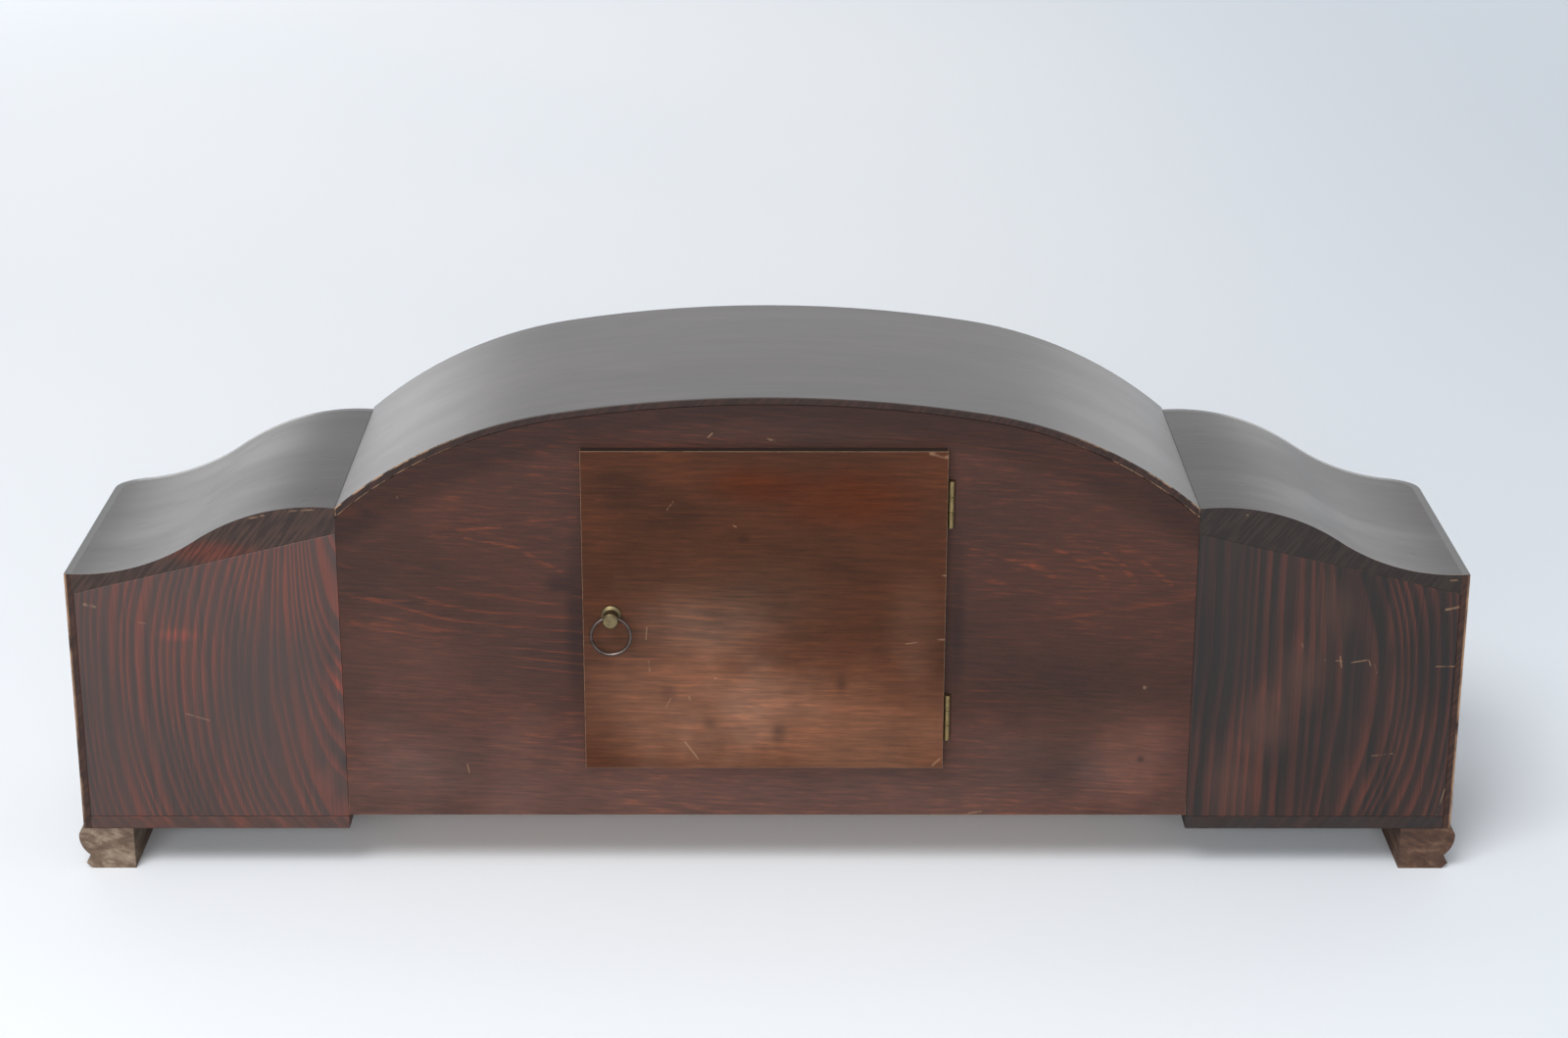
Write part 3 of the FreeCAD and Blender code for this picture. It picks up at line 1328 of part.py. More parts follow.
def pendulum():
    pivot_z = ANCHOR[1]
    axis_y = PLATE_BACK + S.pendulum_back
    bob_z = pivot_z - S.pendulum_length
    bob_low = bob_z - S.bob_radius
    nut_low = bob_low - S.rating_nut_height
    eye_half = S.pendulum_rod_radius + S.end_shake
    eye = rod("rod_eye", S.hub_radius, "y", (0.0, axis_y - eye_half, pivot_z), eye_half * 2)
    shaft_low = nut_low - S.pendulum_rod_radius
    shaft = rod("rod_shaft", S.pendulum_rod_radius, "z", (0.0, axis_y, shaft_low), pivot_z - shaft_low)
    pin_play = S.arbor_radius + S.pivot_play
    bore = rod("rod_bore", pin_play, "y", (0.0, axis_y - eye_half * 2, pivot_z), eye_half * 4)
    node("pendulum_rod", cut("pendulum_rod", fuse("rod_solid", [eye, shaft]), [bore]))

    half = S.bob_half_thickness
    lens_radius = (S.bob_radius * S.bob_radius + half * half) / (half * 2)
    lens = [
        (S.bob_radius * 0, axis_y - half),
        Bend(S.bob_radius, axis_y, lens_radius),
        Bend(S.bob_radius * 0, axis_y + half, lens_radius),
    ]
    bob = turned("bob_lens", "XY_Plane", lens, z=bob_z)
    slot = rod("bob_bore", S.pendulum_rod_radius, "z", (0.0, axis_y, bob_low), S.bob_radius * 2)
    node("pendulum_bob", cut("pendulum_bob", bob, [slot]))

    nut = rod("rating_blank", S.rating_nut_radius, "z", (0.0, axis_y, nut_low), S.rating_nut_height)
    thread = rod("rating_thread", S.pendulum_rod_radius, "z", (0.0, axis_y, nut_low), S.rating_nut_height)
    node("rating_nut", cut("rating_nut", nut, [thread]))

    arm_half, arm_low = S.hub_radius * 1.5, pivot_z + S.hub_radius + S.end_shake * 2
    tab_y = axis_y - eye_half - S.end_shake
    tall = (arm_low, arm_low + S.hub_radius * 2.5)
    arm = box("cock_arm", (-arm_half, arm_half), (PLATE_BACK, tab_y), tall)
    tab_depth, tab_height = (tab_y - S.plate_thickness, tab_y), (pivot_z - S.hub_radius, arm_low)
    tab = box("cock_tab", (-S.hub_radius, S.hub_radius), tab_depth, tab_height)
    pin_length = eye_half * 2 + S.end_shake * 2 + S.plate_thickness
    pin = rod("cock_pin", S.arbor_radius, "y", (0.0, tab_y - S.plate_thickness, pivot_z), pin_length)
    cap_start = tab_y - S.plate_thickness + pin_length
    cap = rod("cock_cap", S.hub_radius * 0.8, "y", (0.0, cap_start, pivot_z), S.wheel_thickness)
    node("suspension_cock", fuse("suspension_cock", [arm, tab, pin, cap]))


def hammers():
    """Two hammers on one arbor behind the plates, and the tail that the lifting pins push inside them."""
    shake, plate, whole = S.end_shake.value, S.plate_thickness.value, S.plate_spacing.value
    first = S.gong_rod_back.value + plate
    backs = [first, first + S.gong_rod_pitch.value]
    head_low = (S.gong_height + S.gong_rod_radius + S.hammer_gap - HAMMER[1]).value
    head_high = head_low + S.hammer_head_length.value
    reach, half = S.hammer_reach.value, S.hammer_arm_half.value
    end_back = backs[-1] + half
    pieces = [
        disc(S.arbor_radius.value, inside(-end_back), end_back + whole - shake),
        disc(S.pivot_radius.value, inside(whole - shake), shake + plate),
    ]
    arm_end = head_high - half * 2
    head_radius, head_length = S.hammer_head_radius.value, S.hammer_head_length.value
    for back in backs:
        arm = [(0, -half), (reach, arm_end - half), (reach, arm_end + half), (0, half)]
        pieces.append(plate_of(arm, inside(-back - half), half * 2))
        pieces.append(disc(S.hub_radius.value, inside(-back - half), half * 2))
        start = V(reach, inside(-back), head_low)
        pieces.append(Part.makeCylinder(head_radius, head_length, start, V(0, 0, 1)))
    tail_thick = S.hammer_tail_thickness.value
    tail_start = inside(LIFTING_LAYER + S.wheel_thickness.value + S.hammer_tail_gap.value)
    pieces.append(plate_of(HAMMER_TAIL, tail_start, tail_thick))
    pieces.append(disc(S.hub_radius.value, tail_start, tail_thick))
    riveted("hammers", HAMMER, pieces)


def gong():
    """Two tuned rods in a cast block on the centre floor."""
    left = -S.gong_block_left
    start_y = PLATE_BACK + S.gong_rod_back
    rods = []
    for index in range(2):
        start = (left + S.gong_block_width / 4, start_y + S.gong_rod_pitch * index, S.gong_height)
        rods.append(rod(f"gong_rod{index}", S.gong_rod_radius, "x", start, S.gong_rod_length))
    margin = S.gong_rod_radius * 3
    block = box(
        "gong_casting",
        (left, left + S.gong_block_width),
        (start_y - margin, start_y + S.gong_rod_pitch + margin),
        (S.centre_floor_height + S.floor_thickness, S.gong_height + margin),
    )
    node("gong_rods", group("gong_rods", rods))
    node("gong_block", cut("gong_block", block, rods))


def check_and_write():
    """Stops on any failed object or bad shape, then writes one file for each piece."""
    doc.recompute()
    failed = [item.Name for item in doc.Objects if {"Invalid", "Error"} & set(item.State)]
    bad = [piece.Label for piece in nodes if piece.Shape.isNull() or not piece.Shape.isValid()]
    if failed or bad:
        raise RuntimeError(f"failed objects {failed}, bad shapes {bad}")
    os.makedirs("parts", exist_ok=True)
    for piece in nodes:
        piece.Shape.exportStep(f"parts/{piece.Label}.step")
    print(len(nodes), "pieces written")


def build():
    roof()
    partitions()
    centre_floor()
    end_box()
    foot()
    panel_cavities, door_cavities, pins, frame_screws = rear_hinges()
    rear_door(door_cavities)
    ring_latch()
    back_panel(panel_cavities)
    dial()
    bezel()
    bezel_screws, bezel_pin = bezel_hinge()
    hands()
    leg_screws = movement_frame()
    front_panel(bezel_screws + leg_screws)
    node("hinge_pins", group("hinge_pins", pins + [bezel_pin]))
    node("case_screws", group("case_screws", frame_screws + bezel_screws + leg_screws))
    barrel()
    winding_arbor()
    going_train()
    anchor()
    motion_work()
    strike_train()
    pendulum()
    hammers()
    gong()
    check_and_write()


build()
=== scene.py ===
"""A long mantel clock seen from behind: softened boards, stained and lacquered wood, brass and a dial."""
import json
import logging
import math
from dataclasses import dataclass, field
from enum import Enum
from functools import cache

import bmesh
import bpy
from mathutils import Matrix, Vector

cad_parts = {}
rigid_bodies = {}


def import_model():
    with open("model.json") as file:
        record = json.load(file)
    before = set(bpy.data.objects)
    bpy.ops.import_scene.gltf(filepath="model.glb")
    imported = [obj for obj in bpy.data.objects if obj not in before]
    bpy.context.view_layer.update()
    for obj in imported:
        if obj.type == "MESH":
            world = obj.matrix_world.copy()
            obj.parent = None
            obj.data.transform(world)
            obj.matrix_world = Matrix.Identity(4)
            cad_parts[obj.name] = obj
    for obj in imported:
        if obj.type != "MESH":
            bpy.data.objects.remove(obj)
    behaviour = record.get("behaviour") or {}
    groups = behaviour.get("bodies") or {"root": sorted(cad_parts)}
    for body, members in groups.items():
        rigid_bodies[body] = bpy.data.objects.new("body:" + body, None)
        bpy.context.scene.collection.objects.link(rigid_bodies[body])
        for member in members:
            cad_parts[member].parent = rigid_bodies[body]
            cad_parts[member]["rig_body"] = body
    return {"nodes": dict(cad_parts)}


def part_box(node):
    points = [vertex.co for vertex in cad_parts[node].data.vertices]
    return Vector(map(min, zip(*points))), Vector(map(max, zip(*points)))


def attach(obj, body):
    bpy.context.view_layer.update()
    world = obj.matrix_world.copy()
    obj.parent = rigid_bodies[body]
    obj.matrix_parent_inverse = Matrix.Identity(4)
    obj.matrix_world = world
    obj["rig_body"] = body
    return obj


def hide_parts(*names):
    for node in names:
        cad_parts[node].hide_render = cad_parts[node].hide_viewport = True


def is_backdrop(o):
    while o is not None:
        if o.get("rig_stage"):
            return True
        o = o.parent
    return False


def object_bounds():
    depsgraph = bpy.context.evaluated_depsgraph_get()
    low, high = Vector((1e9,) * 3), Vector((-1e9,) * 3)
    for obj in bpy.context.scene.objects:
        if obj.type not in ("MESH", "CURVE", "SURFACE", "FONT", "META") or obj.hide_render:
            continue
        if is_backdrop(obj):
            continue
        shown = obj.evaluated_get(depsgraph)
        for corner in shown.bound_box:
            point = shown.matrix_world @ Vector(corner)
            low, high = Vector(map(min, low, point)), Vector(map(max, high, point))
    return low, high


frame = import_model()
CAD_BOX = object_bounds()
LOG = logging.getLogger("mantel_clock")
MM = 0.001
Tone = tuple[float, float, float, float]
Triple = tuple[float, float, float]
Socket = bpy.types.NodeSocket

# Lengths of the clock, in millimetres.
ARCH_RADIUS = 404.0
ARCH_MIDDLE = -147.0
SEAM = 220.0
BOARD_MIDDLE = 104.0
BOARD_HALF = 60.0
REAR_EDGE = 80.0
DIAL_MIDDLE = 145.0

# Steps round the dial, in degrees.
HOUR_TURN = 30.0
MINUTE_TURN = 6.0


def tone(red: int, green: int, blue: int) -> Tone:
    """Turns a screen colour into scene light.

    Args:
        red: Red from 0 to 255.
        green: Green from 0 to 255.
        blue: Blue from 0 to 255.

    Returns:
        The linear colour with full opacity.
    """
    shares = [value / 255 for value in (red, green, blue)]
    light = [share / 12.92 if share < 0.04045 else ((share + 0.055) / 1.055) ** 2.4 for share in shares]
    return (*light, 1.0)


# Wood where stain and lacquer are rubbed away.
BARE = tone(138, 108, 84)


@dataclass(frozen=True)
class Patch:
    """An oval on the back, in millimetres, where a gain multiplies the colour and rings may fade."""

    x: float
    z: float
    wide: float
    tall: float
    gain: Triple
    calm: float = 0.0


@dataclass(frozen=True)
class Scratch:
    """A straight stroke on the back, in millimetres."""

    x: float
    z: float
    to_x: float
    to_z: float
    width: float


class Graph:
    """The node graph of one finish."""

    def __init__(self, name: str) -> None:
        """Starts a material with an empty shader.

        Args:
            name: The finish's name.
        """
        self.material = bpy.data.materials.new(f"{name}_finish")
        self.material.use_nodes = True
        self.tree = self.material.node_tree
        self.tree.nodes.clear()
        self.shader = self.add("BsdfPrincipled")
        self.add("OutputMaterial", Surface=self.shader.outputs[0])
        self.point = self.add("TexCoord").outputs["Object"]
        self.x, self.y, self.z = self.add("SeparateXYZ", Vector=self.point).outputs

    def feed(self, node: bpy.types.Node, sockets: dict[str, object]) -> None:
        """Links or sets the inputs of a node.

        Args:
            node: The node.
            sockets: Links or values, by name with _ for a space, or in0, in1 and so on by place.
        """
        for key, value in sockets.items():
            place = int(key[2:]) if key[:2] == "in" and key[2:].isdigit() else key.replace("_", " ")
            if isinstance(value, Socket):
                self.tree.links.new(value, node.inputs[place])
            else:
                node.inputs[place].default_value = value

    def add(self, kind: str, settings: dict | None = None, **sockets: object) -> bpy.types.Node:
        """Adds a node.

        Args:
            kind: The node type, without its common prefix.
            settings: Properties of the node.
            sockets: Links or values for its inputs.

        Returns:
            The new node.
        """
        node = self.tree.nodes.new("ShaderNode" + kind)
        for key, value in (settings or {}).items():
            setattr(node, key, value)
        self.feed(node, sockets)
        return node

    def maths(self, operation: str, first: object, second: object = 0.0) -> Socket:
        """One step of arithmetic."""
        return self.add("Math", {"operation": operation}, in0=first, in1=second).outputs[0]

    def plus(self, first: object, second: object) -> Socket:
        """The sum of two values."""
        return self.maths("ADD", first, second)

    def times(self, first: object, second: object) -> Socket:
        """The product of two values."""
        return self.maths("MULTIPLY", first, second)

    def reach(self, across: Socket, up: Socket) -> Socket:
        """How far a point lies from a middle."""
        return self.maths("SQRT", self.plus(self.times(across, across), self.times(up, up)))

    def noise(self, vector: Socket, scale: float, detail: float, rough: float = 0.5,
              warp: float = 0.0) -> Socket:
        """Cloudy values round a half."""
        settings = {"Scale": scale, "Detail": detail, "Roughness": rough, "Distortion": warp}
        return self.add("TexNoise", Vector=vector, **settings).outputs["Fac"]

    def grain(self, scale: Triple, detail: float = 3.0, rough: float = 0.5, warp: float = 0.0,
              shift: Triple = (0.0, 0.0, 0.0), turn: float = 0.0) -> Socket:
        """Cloudy values stretched along the object's own axes.

        Args:
            scale: Clouds per metre along each axis.
            detail: Levels of finer clouds.
            rough: Share of each finer level.
            warp: How far the clouds swirl.
            shift: Where in the pattern the object lies.
            turn: Turn of the pattern about Y, in degrees.

        Returns:
            Values round a half.
        """
        turned = self.add("Mapping", Vector=self.point, Rotation=(0, math.radians(turn), 0)).outputs[0]
        placed = self.add("Mapping", Vector=turned, Scale=scale, Location=shift).outputs[0]
        return self.noise(placed, 1.0, detail, rough, warp)

    def span(self, value: Socket, low: float, high: float, first: float = 0.0,
             last: float = 1.0) -> Socket:
        """A soft step from first to last while a value goes from low to high."""
        ends = {"in1": low, "in2": high, "in3": first, "in4": last}
        return self.add("MapRange", {"interpolation_type": "SMOOTHSTEP"}, in0=value, **ends).outputs[0]

    def ramp(self, value: Socket, stops: list[tuple[float, Tone]]) -> Socket:
        """Colours along a value.

        Args:
            value: The value.
            stops: Places along it, with their colours.

        Returns:
            The colour.
        """
        node = self.add("ValToRGB", Fac=value)
        while len(node.color_ramp.elements) < len(stops):
            node.color_ramp.elements.new(1.0)
        for element, (place, colour) in zip(node.color_ramp.elements, stops):
            element.position = place
            element.color = colour
        return node.outputs[0]

    def mix(self, share: object, first: object, second: object, blend: str = "MIX") -> Socket:
        """One colour over another."""
        colours = {"Color1": first, "Color2": second}
        return self.add("MixRGB", {"blend_type": blend}, Fac=share, **colours).outputs[0]

    def facing(self, axis: int, low: float, high: float) -> Socket:
        """How far the surface faces along a positive axis."""
        normal = self.add("NewGeometry").outputs["Normal"]
        return self.span(self.add("SeparateXYZ", Vector=normal).outputs[axis], low, high)

    def wear(self) -> Socket:
        """One on rounded edges, and zero elsewhere."""
        return self.add("Attribute", {"attribute_name": "wear"}).outputs["Fac"]

    def blot(self, patch: Patch) -> Socket:
        """A soft oval on the X and Z plane with a ragged rim.

        Args:
            patch: The oval.

        Returns:
            One inside and zero outside.
        """
        across = self.maths("DIVIDE", self.plus(self.x, -patch.x * MM), patch.wide * MM)
        up = self.maths("DIVIDE", self.plus(self.z, -patch.z * MM), patch.tall * MM)
        ragged = self.plus(self.reach(across, up), self.times(self.noise(self.point, 22.0, 3.0), 0.8))
        return self.span(ragged, 0.5, 1.4, 1.0, 0.0)

    def line(self, scratch: Scratch) -> Socket:
        """A straight stroke on the X and Z plane, fading at its sides.

        Args:
            scratch: The stroke.

        Returns:
            One along it and zero beside it.
        """
        start = Vector((scratch.x, 0, scratch.z)) * MM
        along = Vector((scratch.to_x, 0, scratch.to_z)) * MM - start
        step = along / along.length_squared
        flat = self.add("CombineXYZ", X=self.x, Z=self.z).outputs[0]
        away = self.add("VectorMath", {"operation": "SUBTRACT"}, in0=flat, in1=start).outputs[0]
        share = self.add("VectorMath", {"operation": "DOT_PRODUCT"}, in0=away, in1=step).outputs["Value"]
        held = self.add("Clamp", Value=share).outputs[0]
        foot = self.add("VectorMath", {"operation": "SCALE"}, in0=along, Scale=held).outputs[0]
        gap = self.add("VectorMath", {"operation": "DISTANCE"}, in0=away, in1=foot).outputs["Value"]
        return self.span(gap, scratch.width * MM * 0.1, scratch.width * MM * 0.6, 1.0, 0.0)

    def patched(self, colour: Socket, patches: tuple[Patch, ...]) -> Socket:
        """A colour with lighter and darker ovals.

        Args:
            colour: The colour.
            patches: The ovals, with their gains.

        Returns:
            The new colour.
        """
        for patch in patches:
            colour = self.mix(self.blot(patch), colour, (*patch.gain, 1.0), "MULTIPLY")
        return colour

    def scratched(self, colour: Socket, scratches: tuple[Scratch, ...]) -> Socket:
        """A colour with broken bare lines through it.

        Args:
            colour: The colour.
            scratches: The lines.

        Returns:
            The new colour.
        """
        broken = self.span(self.grain((150.0, 150.0, 150.0), 2.0), 0.4, 0.56)
        for scratch in scratches:
            colour = self.mix(self.times(self.times(self.line(scratch), broken), 0.5), colour, BARE)
        return colour

    def bump(self, height: Socket, strength: float, depth: float) -> Socket:
        """A surface normal from a height."""
        return self.add("Bump", Height=height, Strength=strength, Distance=depth).outputs[0]

    def surface(self, colour: object, rough: object, **others: object) -> bpy.types.Material:
        """Feeds the shader, and gives the finished material."""
        self.feed(self.shader, {"Base_Color": colour, "Roughness": rough, **others})
        return self.material


@dataclass(frozen=True)
class StainedPly:
    """Stained plywood: level grain, red growth lines, patches of wear and soil, painted shade and painted
    floor light, scratches and rubbed edges.

    The heart is in millimetres, rubbed_below in metres and slope in degrees.
    """

    name: str
    dark: Tone
    middle: Tone
    light: Tone
    fleck: Tone
    heart: tuple[float, float]
    patches: tuple[Patch, ...] = ()
    scratches: tuple[Scratch, ...] = ()
    veins: tuple[Scratch, ...] = ()
    slope: float = 3.0
    flecks: float = 0.5
    shine: float = 0.18
    rubbed: float = 0.5
    rubbed_below: float = 1.0
    top_shade: float = 1.0
    arch_shade: float = 0.0
    bare: Tone = BARE
    lines_per_metre: float = 190.0
    oval: float = 0.14

    def growth_lines(self, g: Graph) -> Socket:
        """Thin broken lines that run nearly level and close in long ovals round the heart.

        Args:
            g: The finish's graph.

        Returns:
            One on a line and zero beside it.
        """
        across = g.times(g.plus(g.x, -self.heart[0] * MM), self.oval)
        sloped = g.times(g.x, -math.tan(math.radians(1.5 * self.slope)))
        up = g.plus(g.plus(g.z, -self.heart[1] * MM), sloped)
        sway = g.times(g.grain((4.5, 4.5, 12.0), 2.0, 0.5, 0.3, shift=(1.0, 0.0, 6.0)), 4.5)
        phase = g.maths("FRACT", g.plus(g.times(g.reach(across, up), self.lines_per_metre), sway))
        line = g.times(g.span(phase, 0.66, 0.92), g.span(phase, 0.94, 1.0, 1.0, 0.0))
        where = g.span(g.grain((7.0, 7.0, 26.0), shift=(2.0, 0.0, 5.0)), 0.5, 0.68)
        thin = g.span(g.grain((30.0, 30.0, 800.0), 2.0), 0.38, 0.62)
        return g.times(g.times(line, where), g.plus(g.times(thin, 0.7), 0.1))

    def figured(self, g: Graph, fibre: Socket, dash: Socket) -> Socket:
        """The clean stained grain.

        Args:
            g: The finish's graph.
            fibre: Fine fibres.
            dash: Short dashes along the grain.

        Returns:
            Its colour.
        """
        figure = g.grain((5.0, 5.0, 10.0), 2.0, 0.5, 0.4, turn=self.slope)
        cloud = g.grain((14.0, 14.0, 26.0), 4.0, 0.6, shift=(3.0, 0.0, 8.0))
        pores = g.span(g.grain((90.0, 90.0, 1500.0), 2.0, shift=(5.0, 0.0, 2.0), turn=self.slope), 0.6, 0.7)
        broad = g.plus(g.times(figure, 0.35), g.times(cloud, 0.2))
        value = g.plus(broad, g.plus(g.times(fibre, 0.17), g.times(dash, 0.28)))
        colour = g.ramp(value, [(0.36, self.dark), (0.5, self.middle), (0.64, self.light)])
        colour = g.mix(g.times(pores, 0.35), colour, self.dark)
        level = g.times(g.span(dash, 0.54, 0.72), g.span(figure, 0.36, 0.6))
        colour = g.mix(g.times(level, 0.7 * self.flecks), colour, self.fleck)
        colour = g.mix(g.times(self.growth_lines(g), self.flecks), colour, self.fleck)
        shown = g.span(dash, 0.42, 0.62)
        for vein in self.veins:
            colour = g.mix(g.times(g.times(g.line(vein), shown), 0.36), colour, self.fleck)
        return colour

    def aged_and_shaded(self, g: Graph, colour: Socket) -> Socket:
        """A colour with patches, soil, the painted shade under the roof, painted shade on faces that look
        up, scratches and rubbed edges; some patches are painted shadow and painted floor light.

        Args:
            g: The finish's graph.
            colour: The clean colour.

        Returns:
            The aged colour, with its painted shade and light.
        """
        colour = g.patched(colour, self.patches)
        soil = g.span(g.grain((11.0, 11.0, 15.0), 5.0, 0.65, shift=(7.0, 0.0, 3.0)), 0.5, 0.74)
        colour = g.mix(g.times(soil, 0.5), colour, (0.56, 0.66, 0.74, 1.0), "MULTIPLY")
        # Painted shade: a dark band on the panel just under the roof's edge, as strong as arch_shade.
        reach = g.reach(g.x, g.plus(g.z, -ARCH_MIDDLE * MM))
        under_roof = g.span(reach, (ARCH_RADIUS - 16.0) * MM, (ARCH_RADIUS - 3.0) * MM)
        colour = g.mix(g.times(under_roof, self.arch_shade), colour, (0.5, 0.5, 0.52, 1.0), "MULTIPLY")
        colour = g.scratched(colour, self.scratches)
        # Painted shade: faces that look up are darkened; top_shade is the share of the clean colour that
        # they keep.
        top = g.facing(2, 0.6, 0.9)
        colour = g.mix(g.times(top, 1.0 - self.top_shade), colour, tone(40, 33, 30))
        chips = g.grain((55.0, 55.0, 55.0), 4.0, 0.7)
        chipped = g.span(chips, 0.6 - 0.35 * self.rubbed, 0.7 - 0.2 * self.rubbed)
        low = g.span(g.z, self.rubbed_below, self.rubbed_below + 0.01, 1.0, 0.0)
        return g.mix(g.times(g.times(g.wear(), low), chipped), colour, self.bare)

    def material(self) -> bpy.types.Material:
        """Builds the finish.

        Returns:
            The finished material.
        """
        g = Graph(self.name)
        fibre = g.grain((40.0, 40.0, 1300.0), 3.0, 0.6, turn=self.slope)
        dash = g.grain((60.0, 60.0, 640.0), 3.0, 0.55, turn=self.slope)
        colour = self.aged_and_shaded(g, self.figured(g, fibre, dash))
        rough = g.span(g.grain((40.0, 40.0, 90.0), 4.0), 0.2, 0.8, 0.42, 0.6)
        normal = g.bump(g.plus(g.times(fibre, 0.6), dash), 0.25, 0.0003)
        return g.surface(colour, rough, Normal=normal, Specular_IOR_Level=self.shine)


@dataclass(frozen=True)
class RingedBoard:
    """A stained softwood board on end: upright rings that bulge outwards and lean at the seam.

    Rings are counted per metre, and bulge and bulge_from are in metres.
    """

    name: str
    side: int
    dark: Tone
    middle: Tone
    red: Tone
    rings: float
    uneven: float
    bulge: float
    bulge_from: float
    lean: float
    wander: float
    faded: float
    shine: float
    seam_gap: float = 0.0
    patches: tuple[Patch, ...] = ()
    scratches: tuple[Scratch, ...] = ()

    def late_wood(self, g: Graph) -> Socket:
        """The dark half of each ring.

        Args:
            g: The finish's graph.

        Returns:
            One on late wood and zero on early wood.
        """
        depth = g.plus(g.times(g.x, float(self.side)), -SEAM * MM)
        rise = g.plus(g.z, -BOARD_MIDDLE * MM)
        begun = g.span(depth, self.bulge_from, self.bulge_from + 0.05)
        bowed = g.times(begun, g.span(depth, 0.1, 0.15, 1.0, 0.3))
        bend = -self.bulge / (BOARD_HALF * MM) ** 2
        arch = g.plus(g.times(g.times(rise, rise), bend), self.bulge)
        lean = g.times(g.times(rise, g.span(depth, 0.0, 0.05, 1.0, 0.0)), self.lean)
        opened = g.times(g.times(g.span(depth, 0.0, 0.035, 1.0, 0.0), depth), self.seam_gap)
        bulged = g.maths("SUBTRACT", depth, g.times(arch, bowed))
        warped = g.maths("SUBTRACT", bulged, g.plus(lean, opened))
        slow = g.grain((12.0, 12.0, 7.0), 2.0, 0.45, shift=(self.side * 3.0, 0.0, 1.0))
        sway = g.times(g.times(g.plus(slow, -0.5), g.span(depth, 0.0, 0.07, 1.0, 0.35)), self.wander)
        across = g.add("CombineXYZ", X=g.times(warped, 38.0), Y=float(self.side)).outputs[0]
        spread = g.times(g.noise(across, 1.0, 1.0, 0.4), self.uneven)
        ripple = g.times(g.grain((60.0, 60.0, 20.0), 2.0), 0.35)
        count = g.plus(g.plus(g.times(warped, self.rings), spread), g.plus(sway, ripple))
        phase = g.maths("FRACT", count)
        return g.times(g.span(phase, 0.28, 0.8), g.span(phase, 0.84, 1.0, 1.0, 0.0))

    def material(self) -> bpy.types.Material:
        """Builds the finish.

        Returns:
            The finished material.
        """
        g = Graph(self.name)
        late = self.late_wood(g)
        clear = g.grain((26.0, 26.0, 9.0), shift=(4.0, 0.0, 2.0))
        shown = g.span(clear, 0.34, 0.62, 1.0 - self.faded, 1.0)
        fibre = g.grain((1000.0, 1000.0, 16.0), 3.0, 0.6)
        streak = g.grain((260.0, 260.0, 7.0), 2.0)
        uneven = g.span(g.plus(g.times(clear, 0.5), g.times(streak, 0.5)), 0.4, 0.6)
        early = g.mix(uneven, self.dark, self.middle)
        for patch in self.patches:
            if patch.calm:
                shown = g.times(shown, g.span(g.blot(patch), 0.0, 1.0, 1.0, 1.0 - patch.calm))
                early = g.mix(g.times(g.blot(patch), patch.calm), early, self.middle)
        reddened = g.times(late, g.times(shown, g.span(fibre, 0.2, 0.7, 0.6, 1.0)))
        colour = g.mix(reddened, early, self.red)
        hairs = g.ramp(fibre, [(0.3, tone(165, 165, 168)), (0.7, tone(255, 250, 245))])
        colour = g.mix(0.5, colour, hairs, "MULTIPLY")
        cloud = g.grain((14.0, 14.0, 8.0), 4.0, shift=(1.0, 0.0, 4.0))
        colour = g.mix(g.span(cloud, 0.42, 0.7, 0.0, 0.6), colour, self.dark)
        colour = g.scratched(g.patched(colour, self.patches), self.scratches)
        rough = g.span(cloud, 0.3, 0.7, 0.4, 0.52)
        normal = g.bump(g.plus(fibre, g.times(late, 0.3)), 0.25, 0.0003)
        return g.surface(colour, rough, Normal=normal, Specular_IOR_Level=self.shine)


